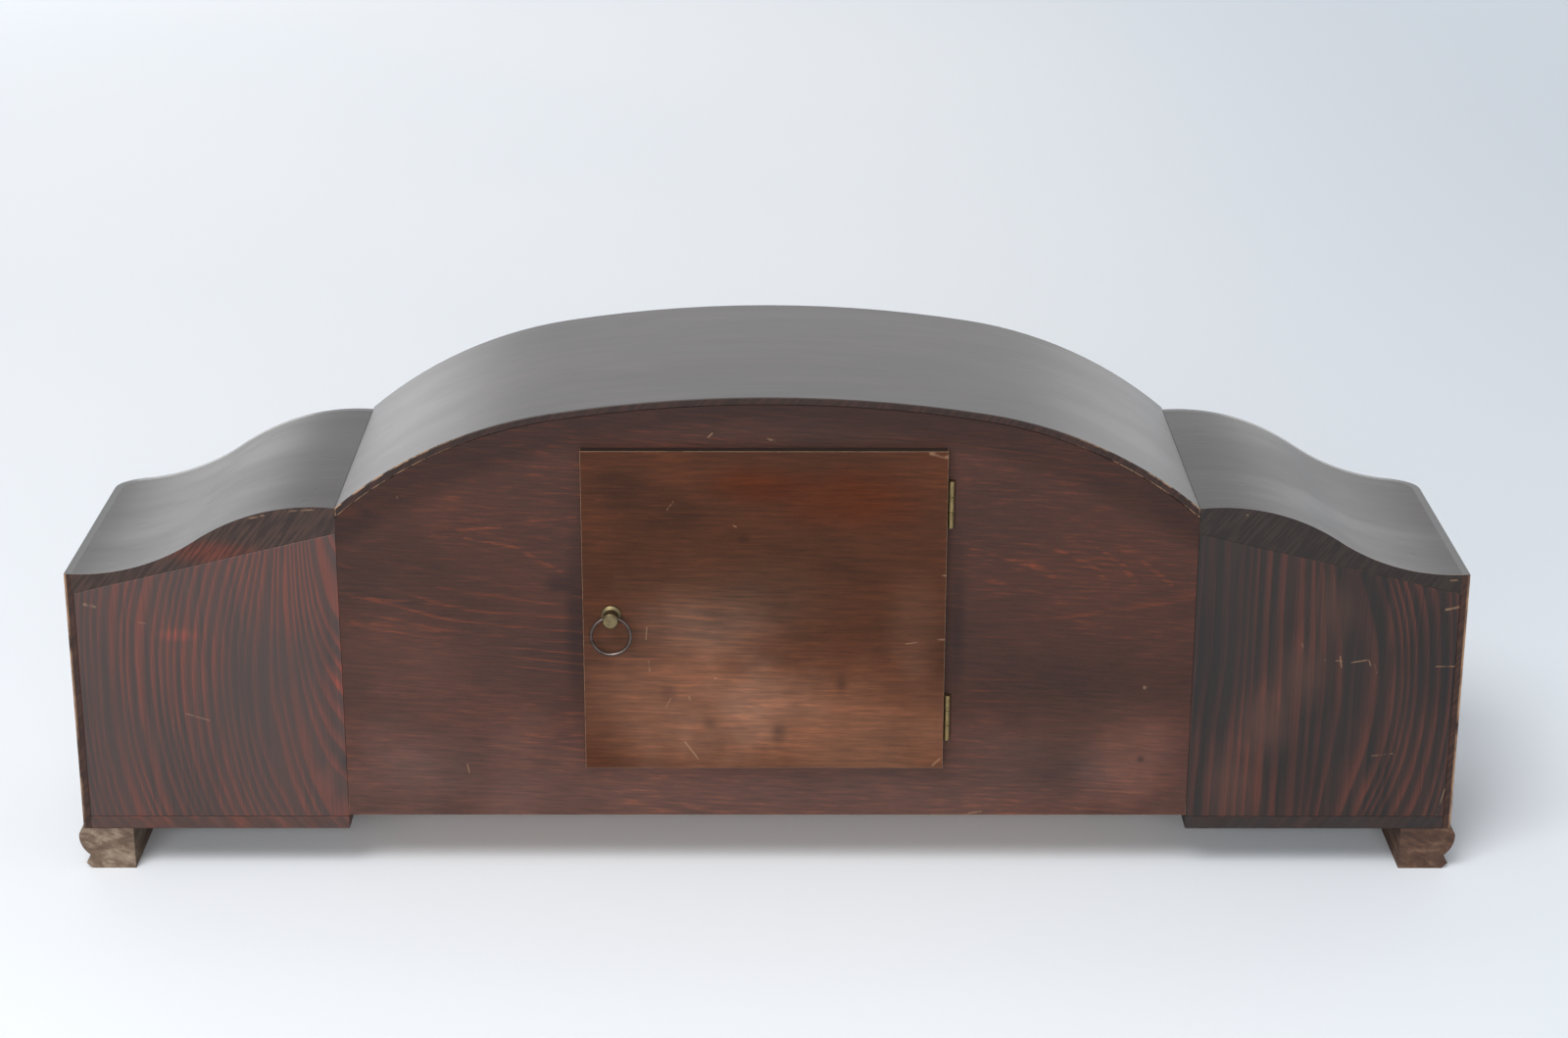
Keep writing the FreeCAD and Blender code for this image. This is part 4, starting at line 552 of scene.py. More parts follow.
@dataclass(frozen=True)
class Lacquer:
    """Dark lacquer over bent plywood; the cut rear edge shows stained end grain. Far from the middle, its
    rounded rear edges are painted pale, partly as wear and partly as a painted highlight.

    Measured from the middle plane, rim is in millimetres and glint_and_wear_from in metres.
    """

    name: str
    body: Tone
    glow: Tone
    cut: Tone
    cut_light: Tone
    smooth: float
    dull: float
    streaks: float
    dents: float = 0.5
    glint_and_wear_from: float = 1.0
    rim: float = 1000.0
    crown: float = 0.0
    patches: tuple[Patch, ...] = ()
    scratches: tuple[Scratch, ...] = ()

    def cut_edge(self, g: Graph, away: Socket) -> Socket:
        """The sawn rear edge, with its patches, scratches and bare outer rim.

        Args:
            g: The finish's graph.
            away: Distance from the clock's middle plane.

        Returns:
            Its colour.
        """
        hatch = g.grain((620.0, 620.0, 60.0), turn=38.0)
        edge = g.mix(g.span(hatch, 0.4, 0.62), self.cut, self.cut_light)
        edge = g.scratched(g.patched(edge, self.patches), self.scratches)
        worn = g.span(g.grain((60.0, 60.0, 26.0), 4.0, 0.7), 0.36, 0.56)
        outer = g.span(away, self.rim * MM, (self.rim + 0.9) * MM)
        return g.mix(g.times(outer, worn), edge, BARE)

    def material(self) -> bpy.types.Material:
        """Builds the finish.

        Returns:
            The finished material.
        """
        g = Graph(self.name)
        away = g.maths("ABSOLUTE", g.x)
        rear = g.facing(1, 0.75, 0.95)
        grain = g.grain((8.0, 120.0, 60.0), 4.0, 0.6, 0.3)
        cloud = g.noise(g.point, 11.0, 4.0, 0.6)
        veins = g.grain((16.0, 300.0, 380.0), 4.0, 0.6, 0.2)
        figure = g.plus(g.times(grain, 0.4), g.plus(g.times(cloud, 0.25), g.times(veins, 0.35)))
        colour = g.mix(g.span(figure, 0.4, 0.62), self.body, self.glow)
        colour = g.mix(g.times(g.facing(2, 0.2, 0.6), self.crown), colour, tone(26, 20, 18))
        colour = g.mix(rear, colour, self.cut_edge(g, away))
        # Partly wear, partly a painted highlight: the pale bare colour on rounded rear edges far from the
        # middle.
        rubbed = g.times(g.wear(), g.span(away, self.glint_and_wear_from, self.glint_and_wear_from + 0.05))
        behind = g.span(g.y, REAR_EDGE * MM, (REAR_EDGE + 3.0) * MM)
        chipped = g.span(g.grain((60.0, 60.0, 60.0), 5.0, 0.7), 0.44, 0.56)
        colour = g.mix(g.times(g.times(rubbed, behind), chipped), colour, BARE)
        haze = g.grain((5.0, 22.0, 22.0), 4.0, 0.65, 0.4)
        rough = g.plus(g.span(haze, 0.3, 0.7, self.smooth, self.dull), g.times(rear, 0.2))
        pores = g.times(g.grain((45.0, 700.0, 300.0), 2.0), self.streaks)
        spots = g.times(g.span(g.noise(g.point, 95.0, 2.0), 0.66, 0.74), -self.dents)
        height = g.plus(pores, g.plus(g.times(grain, 0.4 * self.streaks), spots))
        shine = g.span(rear, 0.0, 1.0, 0.5, 0.22)
        return g.surface(colour, rough, Normal=g.bump(height, 0.22, 0.0004), Specular_IOR_Level=shine)


@dataclass(frozen=True)
class RoughWood:
    """Bare or dirty wood whose grain runs along one direction."""

    name: str
    dark: Tone
    middle: Tone
    light: Tone
    grain: Triple
    turn: float = 0.0
    lumps: float = 0.5
    shine: float = 0.25

    def material(self) -> bpy.types.Material:
        """Builds the finish.

        Returns:
            The finished material.
        """
        g = Graph(self.name)
        lines = g.grain(self.grain, 4.0, 0.6, 0.4, turn=self.turn)
        dirt = g.noise(g.point, 60.0, 5.0, 0.7)
        value = g.plus(g.times(lines, 0.6), g.times(dirt, 0.4))
        colour = g.ramp(value, [(0.34, self.dark), (0.5, self.middle), (0.66, self.light)])
        chipped = g.span(g.noise(g.point, 120.0, 4.0, 0.7), 0.5, 0.62)
        colour = g.mix(g.times(g.wear(), chipped), colour, self.light)
        rough = g.span(dirt, 0.3, 0.7, 0.7, 0.9)
        normal = g.bump(g.plus(g.times(lines, 0.4), g.times(dirt, self.lumps)), 0.6, 0.0008)
        return g.surface(colour, rough, Normal=normal, Specular_IOR_Level=self.shine)


@dataclass(frozen=True)
class AgedMetal:
    """Metal with fine turning or brushing marks and tarnish in patches."""

    name: str
    bright: Tone
    tarnish: Tone
    smooth: float
    dull: float
    age: float

    def material(self) -> bpy.types.Material:
        """Builds the finish.

        Returns:
            The finished material.
        """
        g = Graph(self.name)
        fog = g.noise(g.point, 180.0, 4.0, 0.65)
        patch = g.span(fog, 0.62 - 0.3 * self.age, 0.8 - 0.2 * self.age)
        brushed = g.grain((900.0, 900.0, 40.0), 2.0)
        colour = g.mix(g.times(patch, 0.35 + 0.6 * self.age), self.bright, self.tarnish)
        rough = g.plus(g.span(patch, 0.0, 1.0, self.smooth, self.dull), g.times(brushed, 0.08))
        return g.surface(colour, rough, Normal=g.bump(brushed, 0.08, 0.0001), Metallic=1.0)


@dataclass(frozen=True)
class DialPaint:
    """Aged cream paint on the dial, a little darker towards its rim."""

    name: str
    pale: Tone
    rim: Tone

    def material(self) -> bpy.types.Material:
        """Builds the finish.

        Returns:
            The finished material.
        """
        g = Graph(self.name)
        reach = g.reach(g.x, g.plus(g.z, -DIAL_MIDDLE * MM))
        fog = g.noise(g.point, 38.0, 5.0, 0.65)
        colour = g.mix(g.span(g.plus(reach, g.times(fog, 0.03)), 0.06, 0.115), self.pale, self.rim)
        return g.surface(colour, g.span(fog, 0.3, 0.7, 0.35, 0.5), Normal=g.bump(fog, 0.1, 0.0002))


@dataclass(frozen=True)
class ClearGlass:
    """Slightly wavy old glass."""

    name: str
    tint: Tone = (0.1, 0.12, 0.11, 1.0)
    rough: float = 0.03
    seen: float = 0.1

    def material(self) -> bpy.types.Material:
        """Builds the finish.

        Returns:
            The finished material.
        """
        g = Graph(self.name)
        wave = g.bump(g.noise(g.point, 14.0, 2.0), 0.05, 0.0005)
        return g.surface(self.tint, self.rough, Normal=wave, Alpha=self.seen, Specular_IOR_Level=1.0)


class Finish(Enum):
    """The clock's finishes."""

    # Patches are places worn by handling, sunned or soiled, but the pale grey bottom strip is partly faded
    # stain and partly painted light from the floor, and the two narrow dark ovals at the door's sides are
    # painted shadow; veins are the red lines beside the door.
    PANEL = StainedPly(
        "panel_ply",
        dark=tone(43, 28, 24), middle=tone(59, 35, 28), light=tone(74, 42, 31), fleck=tone(116, 56, 34),
        heart=(-8, 177),
        patches=(
            # Partly faded stain, partly painted light from the floor: the bottom strip is paler and greyer.
            Patch(0, 38, 380, 60, (1.85, 2.2, 2.4)),
            Patch(-168, 80, 44, 30, (1.25, 1.28, 1.24)),
            Patch(180, 90, 90, 90, (1.5, 1.6, 1.65)),
            Patch(-155, 56, 36, 24, (0.8, 0.88, 0.95)),
            Patch(-196, 62, 40, 50, (1.7, 1.65, 1.6)),
            Patch(107, 160, 10, 8, (0.55, 0.62, 0.7)),
            # Painted shadow: narrow dark ovals along both sides of the raised door.
            Patch(99, 140, 7, 66, (0.6, 0.64, 0.7)),
            Patch(-98, 140, 7, 66, (0.6, 0.64, 0.7)),
            Patch(-195, 63, 3, 3, (0.5, 0.6, 0.7)),
            Patch(214, 200, 10, 6, (1.7, 1.3, 1.0)),
        ),
        scratches=(
            Scratch(-195.5, 103.6, -196.5, 103, 2.4),
            Scratch(157, 60, 156, 55, 0.8),
            Scratch(-5, 238, 0, 239, 1.6),
            Scratch(30, 240, 28, 242, 1.2),
            Scratch(188, 208, 187, 206, 1.4),
            Scratch(-112, 33, -106, 32, 1.2),
        ),
        veins=(
            Scratch(-104, 180, -136, 171, 2.6),
            Scratch(-136, 171, -146, 166, 4.5),
            Scratch(-147, 180, -168, 170, 2.6),
            Scratch(-168, 170, -174, 162, 4.0),
            Scratch(-162, 186, -182, 171, 2.6),
            Scratch(-182, 171, -188, 162, 4.0),
            Scratch(-192, 173, -207, 161, 3.0),
            Scratch(98, 197, 132, 194, 1.8),
            Scratch(136, 192, 158, 190, 2.6),
            Scratch(154, 186, 130, 181, 2.4),
            Scratch(128, 180, 106, 168, 2.6),
            Scratch(214, 154, 164, 148, 2.4),
            Scratch(214, 140, 168, 135, 2.4),
        ),
        flecks=0.42,
        rubbed=0.8,
        rubbed_below=0.034,
        arch_shade=0.8,
    )
    # The door is paler and greyer low down, dark and red at its top, and bare along its edges.
    DOOR = StainedPly(
        "door_ply",
        dark=tone(49, 30, 21), middle=tone(66, 38, 25), light=tone(79, 45, 29), fleck=tone(116, 60, 33),
        heart=(-30, 214),
        patches=(
            Patch(75, 217, 26, 20, (0.58, 0.68, 0.82)),
            Patch(55, 203, 34, 18, (0.75, 0.8, 0.86)),
            Patch(-43, 209, 60, 26, (1.12, 0.8, 0.56)),
            Patch(5, 217, 40, 14, (1.02, 0.76, 0.56)),
            Patch(20, 150, 70, 40, (1.3, 1.53, 1.72)),
            Patch(-40, 78, 110, 60, (2.4, 2.85, 3.2)),
            Patch(44, 108, 80, 64, (2.3, 2.8, 3.3)),
            Patch(-38, 108, 5, 9, (0.66, 0.7, 0.74)),
            Patch(-6, 80, 6, 10, (0.64, 0.68, 0.72)),
            Patch(30, 86, 6, 7, (0.7, 0.74, 0.78)),
            Patch(51, 103, 7, 7, (0.74, 0.76, 0.8)),
            Patch(12, 188, 6, 4, (0.66, 0.7, 0.74)),
            Patch(-76, 138, 20, 40, (1.4, 1.6, 1.75)),
        ),
        scratches=(
            Scratch(47.7, 207.8, 50.7, 203.6, 0.9),
            Scratch(17.2, 194.9, 16, 194.3, 1.2),
            Scratch(61.9, 139.6, 62.4, 133, 0.7),
            Scratch(61.2, 121, 60.8, 115.5, 1.1),
            Scratch(27.2, 111.6, 26.6, 111.2, 1.5),
            Scratch(40.6, 101, 39.7, 98.6, 1.1),
            Scratch(54.4, 91.6, 49.8, 100.4, 0.6),
            Scratch(42.9, 75.6, 36, 66, 1.2),
            Scratch(84.2, 76, 83, 71.8, 0.8),
            Scratch(-86, 168.3, -91, 168, 1.2),
            Scratch(-84, 133, -91, 133, 1.4),
            Scratch(-71, 130.5, -86, 132.8, 0.7),
            Scratch(-82, 233.6, -91, 231.5, 2.4),
            Scratch(-86, 62.5, -89.5, 66, 1.4),
        ),
        slope=1.0,
        flecks=0.22,
        shine=0.07,
        rubbed=1.0,
        bare=tone(176, 146, 118),
        top_shade=0.12,
    )
    # A lighter band with faint rings crosses this board from its top to the seam's foot.
    LEFT_BOARD = RingedBoard(
        "left_board",
        side=-1,
        dark=tone(28, 23, 22), middle=tone(44, 30, 26), red=tone(78, 41, 32),
        rings=150.0, uneven=5.0, bulge=0.011, bulge_from=0.05, lean=0.03, wander=1.6,
        faded=0.75, shine=0.3,
        patches=(
            Patch(-292, 146, 24, 28, (1.7, 1.5, 1.35), 0.7),
            Patch(-276, 112, 22, 30, (2.1, 1.85, 1.7), 0.85),
            Patch(-259, 84, 20, 30, (2.2, 1.9, 1.75), 0.85),
            Patch(-242, 50, 20, 32, (2.4, 1.95, 1.75), 0.75),
            Patch(-228, 120, 9, 90, (0.72, 0.76, 0.8)),
            Patch(-281, 50, 16, 34, (0.74, 0.8, 0.86), 0.5),
            Patch(-344, 120, 20, 70, (0.5, 0.62, 0.7)),
            Patch(-306, 46, 22, 24, (1.35, 1.25, 1.2)),
        ),
        scratches=(
            Scratch(-288, 118.9, -297, 118.5, 0.7),
            Scratch(-302, 117.6, -310, 119, 0.9),
            Scratch(-296, 121, -297, 115, 0.9),
            Scratch(-311, 119, -312, 116, 0.8),
            Scratch(-314, 116.5, -315.5, 112, 1.2),
            Scratch(-316, 65, -326.5, 66.2, 0.9),
            Scratch(-349, 147, -357, 148.8, 1.7),
            Scratch(-346, 115.4, -357, 115.5, 0.8),
            Scratch(-352, 30, -355.5, 46, 0.8),
            Scratch(-276, 128, -277, 124, 0.8),
        ),
    )
    # This board's rings fan out towards the seam, with red places along it.
    RIGHT_BOARD = RingedBoard(
        "right_board",
        side=1,
        dark=tone(46, 35, 32), middle=tone(64, 40, 34), red=tone(100, 46, 34),
        rings=205.0, uneven=7.0, bulge=0.009, bulge_from=0.0, lean=0.26, wander=2.6,
        faded=0.75, shine=0.46, seam_gap=0.55,
        patches=(
            Patch(227, 120, 8, 90, (0.72, 0.74, 0.76)),
            Patch(304.5, 132.6, 15, 5, (1.7, 1.25, 1.15)),
            Patch(224, 108, 8, 12, (1.6, 1.25, 1.15)),
            Patch(230, 52, 9, 14, (1.6, 1.25, 1.15)),
            Patch(221, 60, 5, 12, (0.5, 0.6, 0.66)),
            Patch(238, 90, 26, 80, (1.25, 1.04, 0.96)),
        ),
        scratches=(
            Scratch(350.5, 149.5, 345.5, 148, 2.0),
            Scratch(302.2, 88.7, 290.2, 84.8, 0.6),
            Scratch(320, 139, 326, 140, 0.5),
        ),
    )
    ROOF = Lacquer(
        "roof_lacquer",
        body=tone(30, 22, 19), glow=tone(44, 31, 26), cut=tone(34, 22, 18), cut_light=tone(48, 29, 23),
        smooth=0.3, dull=0.34, streaks=0.15, dents=0.3, glint_and_wear_from=0.14,
    )
    RIGHT_SHOULDER = Lacquer(
        "right_shoulder_lacquer",
        body=tone(26, 20, 18), glow=tone(38, 28, 24), cut=tone(42, 32, 29), cut_light=tone(60, 44, 38),
        smooth=0.36, dull=0.42, streaks=0.25, dents=0.6, glint_and_wear_from=0.3,
        patches=(
            Patch(284, 178, 36, 9, (2.1, 1.05, 0.9)),
            Patch(240, 195, 22, 6, (0.8, 0.85, 0.9)),
        ),
        scratches=(
            Scratch(268, 195.5, 256, 198, 1.3),
            Scratch(250, 199.8, 230, 201.2, 1.0),
            Scratch(344, 158, 334, 159, 1.0),
        ),
    )
    LEFT_SHOULDER = Lacquer(
        "left_shoulder_lacquer",
        body=tone(26, 20, 18), glow=tone(38, 28, 24), cut=tone(32, 26, 24), cut_light=tone(42, 34, 31),
        smooth=0.36, dull=0.42, streaks=0.6, dents=0.6, glint_and_wear_from=0.25,
        scratches=(
            Scratch(-239, 199, -244, 198.6, 1.6),
            Scratch(-350, 163, -356, 163.5, 1.0),
        ),
    )
    WRAP = Lacquer(
        "wrap_lacquer",
        body=tone(48, 26, 17), glow=tone(92, 50, 30), cut=tone(42, 28, 24), cut_light=tone(58, 38, 31),
        smooth=0.14, dull=0.26, streaks=0.2, dents=0.1, rim=358.6, crown=1.0,
    )
    FRONT = Lacquer(
        "front_lacquer",
        body=tone(48, 26, 17), glow=tone(92, 50, 30), cut=tone(44, 28, 22), cut_light=tone(60, 40, 30),
        smooth=0.14, dull=0.26, streaks=0.2, dents=0.1,
    )
    RIGHT_BASE = RoughWood(
        "right_base_strip", tone(44, 33, 31), tone(62, 41, 36), tone(88, 50, 41),
        grain=(300.0, 300.0, 30.0), turn=-38.0, lumps=0.3, shine=0.45,
    )
    LEFT_BASE = RoughWood(
        "left_base_strip", tone(26, 22, 21), tone(36, 28, 26), tone(50, 34, 30),
        grain=(300.0, 300.0, 30.0), turn=38.0, lumps=0.3, shine=0.35,
    )
    INSIDE = RoughWood(
        "inside_wood", tone(96, 66, 44), tone(132, 96, 66), tone(160, 122, 88), grain=(6.0, 60.0, 160.0),
    )
    RIGHT_FOOT = RoughWood(
        "pale_foot", tone(62, 47, 38), tone(96, 80, 67), tone(144, 128, 112),
        grain=(90.0, 30.0, 200.0), turn=20.0, lumps=1.4,
    )
    LEFT_FOOT = RoughWood(
        "red_foot", tone(46, 32, 26), tone(75, 54, 43), tone(114, 88, 72),
        grain=(90.0, 30.0, 200.0), turn=20.0, lumps=1.4,
    )
    OLD_BRASS = AgedMetal("old_brass", tone(138, 120, 84), tone(92, 80, 58), 0.36, 0.55, 0.8)
    BRASS = AgedMetal("clean_brass", tone(208, 178, 112), tone(158, 124, 72), 0.2, 0.34, 0.15)
    DULL_BRASS = AgedMetal("dull_brass", tone(112, 100, 74), tone(74, 65, 50), 0.4, 0.58, 0.8)
    BRONZE = AgedMetal("dark_bronze", tone(90, 79, 75), tone(42, 36, 35), 0.24, 0.4, 0.65)
    STEEL = AgedMetal("plain_steel", tone(186, 186, 184), tone(110, 104, 98), 0.24, 0.42, 0.3)
    BLUED = AgedMetal("blued_steel", tone(34, 40, 62), tone(24, 24, 30), 0.16, 0.3, 0.3)
    IRON = AgedMetal("cast_block", tone(72, 72, 72), tone(44, 42, 42), 0.6, 0.8, 0.6)
    DIAL = DialPaint("dial_paint", tone(232, 224, 202), tone(208, 192, 158))
    PRINT = AgedMetal("numeral_paint", tone(40, 36, 34), tone(30, 27, 26), 0.4, 0.5, 0.5)
    GLASS = ClearGlass("clear_glass")

    @cache
    def material(self) -> bpy.types.Material:
        """The finish's material, made once."""
        return self.value.material()


def coat(piece: bpy.types.Object, finish: Finish) -> None:
    """Gives a piece one finish."""
    piece.data.materials.clear()
    piece.data.materials.append(finish.material())


def finished(name: str, shape: bmesh.types.BMesh, body: str,
             finish: Finish) -> bpy.types.Object:
    """Turns a bmesh into a piece that rides on a body.

    Args:
        name: The piece's name.
        shape: Its mesh, freed here.
        body: The body that carries it.
        finish: Its finish.

    Returns:
        The new object.
    """
    mesh = bpy.data.meshes.new(name)
    shape.to_mesh(mesh)
    shape.free()
    piece = bpy.data.objects.new(name, mesh)
    bpy.context.scene.collection.objects.link(piece)
    coat(piece, finish)
    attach(piece, body)
    LOG.info("%s rides on %s", name, body)
    return piece


@dataclass
class Softened:
    """A solid of the frame with its hard edges rounded and marked as worn."""

    node: str
    width: float
    finish: Finish
    segments: int = 2
    hard_angle: float = 40.0
    flat_angle: float = 0.05
    shade_angle: float = 50.0
    weld: float = 1e-6

    def rounded(self, solid: bpy.types.Object) -> bmesh.types.BMesh:
        """Rounds the solid's hard outer edges.

        Args:
            solid: The solid.

        Returns:
            Its rounded mesh, with the new faces marked as worn.
        """
        shape = bmesh.new()
        shape.from_mesh(solid.data)
        bmesh.ops.remove_doubles(shape, verts=shape.verts, dist=self.weld)
        flat = math.radians(self.flat_angle)
        bmesh.ops.dissolve_limit(shape, angle_limit=flat, verts=shape.verts, edges=shape.edges)
        worn = shape.faces.layers.float.new("wear")
        limit = math.radians(self.hard_angle)
        hard = [edge for edge in shape.edges if len(edge.link_faces) == 2 and edge.is_convex
                and edge.calc_face_angle(0.0) > limit]
        made = bmesh.ops.bevel(
            shape, geom=hard, offset=self.width * MM, offset_type="OFFSET", affect="EDGES",
            segments=self.segments, profile=0.5, material=-1, clamp_overlap=True,
        )
        for face in made["faces"]:
            face[worn] = 1.0
        for face in shape.faces:
            face.smooth = True
        return shape

    def build(self) -> None:
        """Makes the rounded copy, which stands for the solid."""
        solid = frame["nodes"][self.node]
        shape = self.rounded(solid)
        piece = finished(f"{self.node}_softened", shape, solid["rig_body"], self.finish)
        piece.data.set_sharp_from_angle(angle=math.radians(self.shade_angle))
        weighted = piece.modifiers.new("even_shading", "WEIGHTED_NORMAL")
        weighted.keep_sharp = True
        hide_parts(self.node)


@dataclass
class Case:
    """Roof, panels, end boxes and feet."""

    edge: float = 0.6
    shoulder_edge: float = 0.9
    board_edge: float = 0.5
    foot_edge: float = 0.7

    def build(self) -> None:
        """Rounds and finishes the case's boards."""
        Softened("arch_roof", self.edge, Finish.ROOF).build()
        Softened("back_panel", self.board_edge, Finish.PANEL).build()
        Softened("front_panel", self.board_edge, Finish.FRONT).build()
        looks = {
            "left": (Finish.LEFT_SHOULDER, Finish.LEFT_BOARD, Finish.LEFT_BASE, Finish.LEFT_FOOT),
            "right": (Finish.RIGHT_SHOULDER, Finish.RIGHT_BOARD, Finish.RIGHT_BASE, Finish.RIGHT_FOOT),
        }
        for side, (shoulder, board, base, foot) in looks.items():
            Softened(f"{side}_shoulder", self.shoulder_edge, shoulder).build()
            Softened(f"{side}_box_back", self.board_edge, board).build()
            Softened(f"{side}_wrap", self.edge, Finish.WRAP).build()
            Softened(f"{side}_base", self.board_edge, base).build()
            Softened(f"{side}_foot", self.foot_edge, foot).build()
        for name in ("partitions", "centre_base"):
            Softened(name, self.board_edge, Finish.INSIDE).build()


@dataclass
class RearDoor:
    """Door with its hinges, ring pull and latch."""

    edge: float = 0.7
    metal_edge: float = 0.2

    def build(self) -> None:
        """Rounds and finishes the door and its hardware."""
        Softened("rear_door", self.edge, Finish.DOOR, segments=3).build()
        for name in ("hinge_frame_leaves", "hinge_door_leaves"):
            Softened(name, self.metal_edge, Finish.OLD_BRASS).build()
        Softened("latch_spindle", self.metal_edge, Finish.DULL_BRASS).build()
        for name in ("pull_ring", "latch_tongue"):
            Softened(name, self.metal_edge, Finish.BRONZE).build()
        for name in ("hinge_pins", "hinge_door_screws"):
            coat(frame["nodes"][name], Finish.OLD_BRASS)


@dataclass
class DialFront:
    """Dial with its numbers and minute track, bezel, glass and hands, in millimetres."""

    number_circle: float = 72.0
    number_size: float = 17.0
    stroke: float = 0.35
    ink: float = 0.12
    track_circle: float = 84.0
    tick_length: float = 3.2
    hour_tick: float = 1.3
    minute_tick: float = 0.5
    circle_width: float = 0.4
    collar_radius: float = 5.0
    collar_width: float = 1.4
    collar_height: float = 0.4
    bezel_edge: float = 0.3
    hand_edge: float = 0.2
    ring_steps: int = 64
    weld: float = 1e-7
    face: float = field(default_factory=lambda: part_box("dial")[0].y / MM)

    def build(self) -> None:
        """Rounds the metalwork, prints the dial and finishes the glass."""
        for name in ("bezel", "bezel_hinge", "hand_nut"):
            Softened(name, self.bezel_edge, Finish.BRASS).build()
        for name in ("hour_hand", "minute_hand"):
            Softened(name, self.hand_edge, Finish.BLUED).build()
        coat(frame["nodes"]["dial"], Finish.DIAL)
        coat(frame["nodes"]["bezel_glass"], Finish.GLASS)
        self.numbers()
        self.track()
        self.collars()

    def on_dial(self, angle: float, radius: float) -> Vector:
        """A place on the dial's face, by its clockwise angle from twelve in degrees."""
        turn = math.radians(angle)
        return Vector((radius * math.sin(turn), self.face, DIAL_MIDDLE + radius * math.cos(turn))) * MM

    def numbers(self) -> None:
        """Raises twelve plain numbers on the dial."""
        shape = bmesh.new()
        upright = Matrix.Rotation(math.pi / 2, 4, "X")
        for hour in range(1, 13):
            curve = bpy.data.curves.new("number", "FONT")
            curve.body = str(hour)
            curve.size = self.number_size * MM
            curve.align_x = "CENTER"
            curve.align_y = "CENTER"
            curve.extrude = self.ink * MM
            curve.offset = self.stroke * MM
            text = bpy.data.objects.new("number", curve)
            mesh = bpy.data.meshes.new_from_object(text)
            spot = self.on_dial(hour * HOUR_TURN, self.number_circle)
            mesh.transform(Matrix.Translation(spot) @ upright)
            shape.from_mesh(mesh)
            bpy.data.objects.remove(text)
            bpy.data.curves.remove(curve)
            bpy.data.meshes.remove(mesh)
        finished("dial_numbers", shape, "case", Finish.PRINT)

    def track(self) -> None:
        """Raises the minute marks and the two circles that they stand between."""
        shape = bmesh.new()
        for minute in range(60):
            wide = self.hour_tick if minute % 5 == 0 else self.minute_tick
            size = Matrix.Diagonal((wide * MM, self.ink * 2 * MM, self.tick_length * MM, 1.0))
            turn = Matrix.Rotation(math.radians(minute * MINUTE_TURN), 4, "Y")
            spot = Matrix.Translation(self.on_dial(minute * MINUTE_TURN, self.track_circle))
            bmesh.ops.create_cube(shape, size=1.0, matrix=spot @ turn @ size)
        for shift in (-self.tick_length / 2, self.tick_length / 2):
            self.ring(shape, (0.0, DIAL_MIDDLE), self.track_circle + shift, self.circle_width, self.ink)
        finished("dial_minute_track", shape, "case", Finish.PRINT)

    def ring(self, shape: bmesh.types.BMesh, spot: tuple[float, float], radius: float, wide: float,
             tall: float) -> None:
        """Adds a flat ring round an axis along Y.

        Args:
            shape: The mesh that it goes into.
            spot: X and Z of the axis.
            radius: Radius of its middle line.
            wide: Its width.
            tall: How far it stands out of the dial.
        """
        inner, outer = radius - wide / 2, radius + wide / 2
        corners = [(inner, tall), (outer, tall), (outer, -tall), (inner, -tall)]
        verts = [shape.verts.new(Vector((spot[0] + r, self.face + y, spot[1])) * MM) for r, y in corners]
        edges = [shape.edges.new((verts[i], verts[(i + 1) % 4])) for i in range(4)]
        made = bmesh.ops.spin(
            shape, geom=verts + edges, cent=Vector((spot[0], self.face, spot[1])) * MM, axis=(0, 1, 0),
            angle=math.tau, steps=self.ring_steps, use_merge=True,
        )
        last = [item for item in made["geom_last"] if isinstance(item, bmesh.types.BMVert)]
        bmesh.ops.remove_doubles(shape, verts=list(set(verts + last)), dist=self.weld)
        bmesh.ops.recalc_face_normals(shape, faces=shape.faces)

    def collars(self) -> None:
        """Lines the two winding holes with brass."""
        shape = bmesh.new()
        for side in ("going", "strike"):
            low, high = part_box(f"{side}_arbor")
            spot = ((low.x + high.x) / 2 / MM, (low.z + high.z) / 2 / MM)
            self.ring(shape, spot, self.collar_radius, self.collar_width, self.collar_height)
        finished("winding_collars", shape, "case", Finish.BRASS)


@dataclass
class Movement:
    """Plates, trains, pendulum, hammers and gong inside the case."""

    brass: tuple[str, ...] = (
        "front_plate", "back_plate", "going_barrel", "strike_barrel", "intermediate_wheel",
        "centre_wheel", "third_wheel", "escape_wheel", "cannon_pinion", "minute_wheel", "hour_wheel",
        "second_wheel", "pin_wheel", "strike_fly", "rating_nut", "hammers", "suspension_cock",
        "pendulum_bob",
    )
    steel: tuple[str, ...] = (
        "case_screws", "pillars", "pillar_nuts", "movement_legs", "going_mainspring",
        "strike_mainspring", "going_arbor", "strike_arbor", "anchor", "pendulum_rod", "gong_rods",
    )
    block_edge: float = 1.0

    def build(self) -> None:
        """Finishes the movement."""
        for name in self.brass:
            coat(frame["nodes"][name], Finish.BRASS)
        for name in self.steel:
            coat(frame["nodes"][name], Finish.STEEL)
        Softened("gong_block", self.block_edge, Finish.IRON).build()


@dataclass(frozen=True)
class SoftBox:
    """A rectangular lamp in metres, watts and degrees."""

    name: str
    spot: Triple
    target: Triple
    size: tuple[float, float]
    power: float
    spread: float = 180.0

    def build(self) -> None:
        """Hangs the lamp and aims it."""
        lamp = bpy.data.lights.new(self.name, "AREA")
        lamp.shape = "RECTANGLE"
        lamp.size, lamp.size_y = self.size
        lamp.energy = self.power
        lamp.spread = math.radians(self.spread)
        holder = bpy.data.objects.new(self.name, lamp)
        holder.location = self.spot
        aim = Vector(self.target) - Vector(self.spot)
        holder.rotation_euler = aim.to_track_quat("-Z", "Y").to_euler()
        holder.visible_camera = False
        bpy.context.scene.collection.objects.link(holder)


